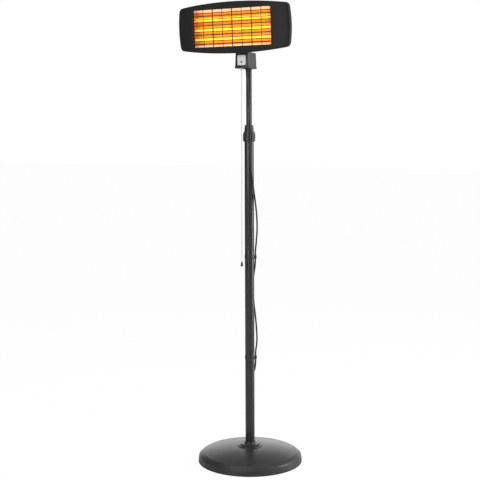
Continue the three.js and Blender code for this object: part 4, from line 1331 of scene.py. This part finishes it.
def quartz_tube(name, z):
    """A clear tube, open at both ends."""
    outline = [(5, -187), (6.5, -187), (6.5, 187), (5, 187)]
    turned_piece(f"quartz_lamp_{name}", "head", "quartz_glass", filleted(outline, 0.5, 3),
                 [f"quartz_tube_{name}"], 40, lamp_place(z))


def heating_coil(name, z):
    """A close helix of resistance wire."""
    reach, turns, steps = 185.0, 96, 14
    bm = bmesh.new()
    start = Matrix.Translation((2.75, 0, -reach + 1)) @ Matrix.Rotation(math.pi / 2, 4, "X")
    made = bmesh.ops.create_circle(bm, cap_ends=False, segments=6, radius=0.6, matrix=start)
    ring = made["verts"]
    edges = list({e for v in ring for e in v.link_edges})
    total = turns * steps
    bmesh.ops.spin(bm, geom=ring + edges, cent=(0, 0, 0), axis=(0, 0, 1), angle=math.tau * turns,
                   steps=total, dvec=(0, 0, 2 * (reach - 1) / total))
    ends = [e for e in bm.edges if e.is_boundary]
    bmesh.ops.holes_fill(bm, edges=ends, sides=0)
    finished(bm, f"glow_wire_{name}", "head", "glowing_coil", [f"heating_coil_{name}"],
             lamp_place(z), sharp=80)


def tilt_knob(side):
    """Lobed hand knob on the end of the tilt bolt."""
    name = "left" if side < 0 else "right"
    low, high = box_mm(f"tilt_knob_{name}")
    middle = (low + high) / 2
    depth = high.x - low.x
    lobes = 6
    bm = bmesh.new()
    rows = [(9.0, 0.0, 0), (9.0, 0.02, 0), (9.0, 3.4, 0), (9.6, 4.2, 0.2), (12.6, 5.0, 0.9), (13.6, 6.2, 1),
            (13.6, 13.0, 1), (12.9, 15.0, 1), (11.0, 16.4, 0.9), (8.0, depth, 0.6)]
    loops = []
    for radius, height, share in rows:
        loop = []
        for k in range(72):
            angle = math.tau * k / 72
            reach = radius + 0.85 * share * math.cos(lobes * angle)
            loop.append((reach * math.cos(angle), reach * math.sin(angle), height))
        loops.append(loop)
    skinned(bm, loops, cap_start=True, cap_end=True)
    turn = Matrix.Rotation(math.radians(90 * side), 4, "Y")
    start = low.x if side > 0 else high.x
    place = Matrix.Translation((start, middle.y, middle.z)) @ turn
    finished(bm, f"hand_knob_{name}", f"knob_{name}", "black_plastic", [f"tilt_knob_{name}"],
             place, sharp=40)


def housing_screws():
    """Two rows of pan-head screws in the back of the housing."""
    profile = [(0, -0.1), (2.2, 0), (3.3, 0.5), (3.6, 1.2), (3.6, 1.6), (0, 1.6)]
    bm = bmesh.new()
    for x in (-188, -64, 64, 188):
        for z in (-30, 18):
            head = bmesh.new()
            turned(head, profile, 24, closed=False)
            place = Matrix.Translation((x, 91.2, z)) @ Matrix.Rotation(math.radians(90), 4, "X")
            bmesh.ops.transform(head, matrix=place, verts=head.verts)
            add_in(bm, head)
    finished(bm, "housing_screws", "head", "zinc_steel", (), HEAD)


bezel()
grille()
reflector()
for lamp, height in LAMP_HEIGHTS.items():
    quartz_tube(lamp, height)
    heating_coil(lamp, height)
for direction in (-1, 1):
    tilt_knob(direction)
housing_screws()
eased("rear_housing", "head", "housing_paint", 0.5)
eased("head_bracket", "head", "bracket_steel", 0.6)
eased("tilt_bolt", "head", "zinc_steel", 0.5)
for holder in ("lamp_holder_left", "lamp_holder_right", "terminal_block"):
    eased(holder, "head", "ceramic", 0.6)


# ----------------------------------------------------------- finishes of the other parts
def paint_model_parts():
    """Gives every part of the model the finish of its slot."""
    for part in frame["record"]["subparts"]:
        node = frame["nodes"][part["node"]]
        material = MATERIALS[part["material_slot"]]
        node.data.materials.clear()
        node.data.materials.append(material)


paint_model_parts()


# ----------------------------------------------------------------------- floor and light
FLOOR_GLOW = 1.04
FLOOR_GLOW_SHARE = 0.9


def add_floor():
    """A pale floor that the camera sees as nearly white."""
    bm = bmesh.new()
    bmesh.ops.create_grid(bm, x_segments=1, y_segments=1, size=30)
    mesh = bpy.data.meshes.new("floor")
    bm.to_mesh(mesh)
    bm.free()
    material, tree, shader = blank_material("pale_floor")
    shader.inputs["Base Color"].default_value = opaque((0.82, 0.82, 0.82))
    shader.inputs["Roughness"].default_value = 0.9
    glow = tree.nodes.new("ShaderNodeEmission")
    glow.inputs["Strength"].default_value = FLOOR_GLOW
    seen = tree.nodes.new("ShaderNodeLightPath").outputs["Is Camera Ray"]
    blend = tree.nodes.new("ShaderNodeMixShader")
    tree.links.new(math_node(tree, "MULTIPLY", seen, FLOOR_GLOW_SHARE), blend.inputs[0])
    tree.links.new(shader.outputs[0], blend.inputs[1])
    tree.links.new(glow.outputs[0], blend.inputs[2])
    output = tree.nodes["Material Output"]
    tree.links.new(blend.outputs[0], output.inputs["Surface"])
    mesh.materials.append(material)
    floor = bpy.data.objects.new("floor", mesh)
    SCENE.collection.objects.link(floor)


STUDIO_LEVEL = 0.22
BEHIND_LEVEL = 1.9
BESIDE_LEVEL = 0.9
ABOVE_LEVEL = 0.6


def add_world():
    """White studio: bright low behind the heater and to its right, dimmer elsewhere."""
    world = bpy.data.worlds.new("studio")
    world.use_nodes = True
    SCENE.world = world
    tree = world.node_tree
    background = tree.nodes["Background"]
    background.inputs["Color"].default_value = opaque((1, 1, 1))
    direction = tree.nodes.new("ShaderNodeTexCoord").outputs["Generated"]
    right = (math.cos(CORD_TURN), math.sin(CORD_TURN), 0)
    away = (-math.sin(CORD_TURN), math.cos(CORD_TURN), 0)
    behind = glow_towards(tree, direction, away, 0.82, 0.98, BEHIND_LEVEL)
    beside = glow_towards(tree, direction, right, 0.3, 0.9, BESIDE_LEVEL)
    above = glow_towards(tree, direction, (0, 0, 1), 0.85, 1.0, ABOVE_LEVEL)
    low_light = math_node(tree, "ADD", behind, beside)
    shade = math_node(tree, "ADD", math_node(tree, "ADD", low_light, above), STUDIO_LEVEL)
    seen = tree.nodes.new("ShaderNodeLightPath").outputs["Is Camera Ray"]
    strength = range_node(tree, seen, 0.0, 1.0, shade, 1.0)
    tree.links.new(strength, background.inputs["Strength"])


def glow_towards(tree, direction, axis, start, full, level):
    """Light that grows from nothing to its level as a direction turns towards an axis."""
    across = tree.nodes.new("ShaderNodeVectorMath")
    across.operation = "DOT_PRODUCT"
    tree.links.new(direction, across.inputs[0])
    across.inputs[1].default_value = axis
    return range_node(tree, across.outputs["Value"], start, full, 0.0, level)


def add_softbox(name, place, target, size, power):
    """An area light at a place, turned towards a target."""
    data = bpy.data.lights.new(name, "AREA")
    data.shape = "RECTANGLE"
    data.size, data.size_y = size
    data.energy = power
    light = bpy.data.objects.new(name, data)
    aim = Vector(target) - Vector(place)
    turn = aim.to_track_quat("-Z", "Y").to_matrix().to_4x4()
    light.matrix_world = Matrix.Translation(place) @ turn
    SCENE.collection.objects.link(light)


def add_lights():
    middle = (0, 0, 1.0)
    add_softbox("right_softbox", (2.6, 1.5, 1.3), middle, (1.0, 2.6), 60)
    add_softbox("overhead_softbox", (-0.6, -1.2, 3.6), middle, (2.2, 2.2), 15)
    add_softbox("camera_fill", (-0.4, -4.4, 2.0), middle, (1.6, 1.6), 70)


add_floor()
add_world()
add_lights()
SCENE.view_settings.view_transform = "Standard"

bpy.context.view_layer.update()
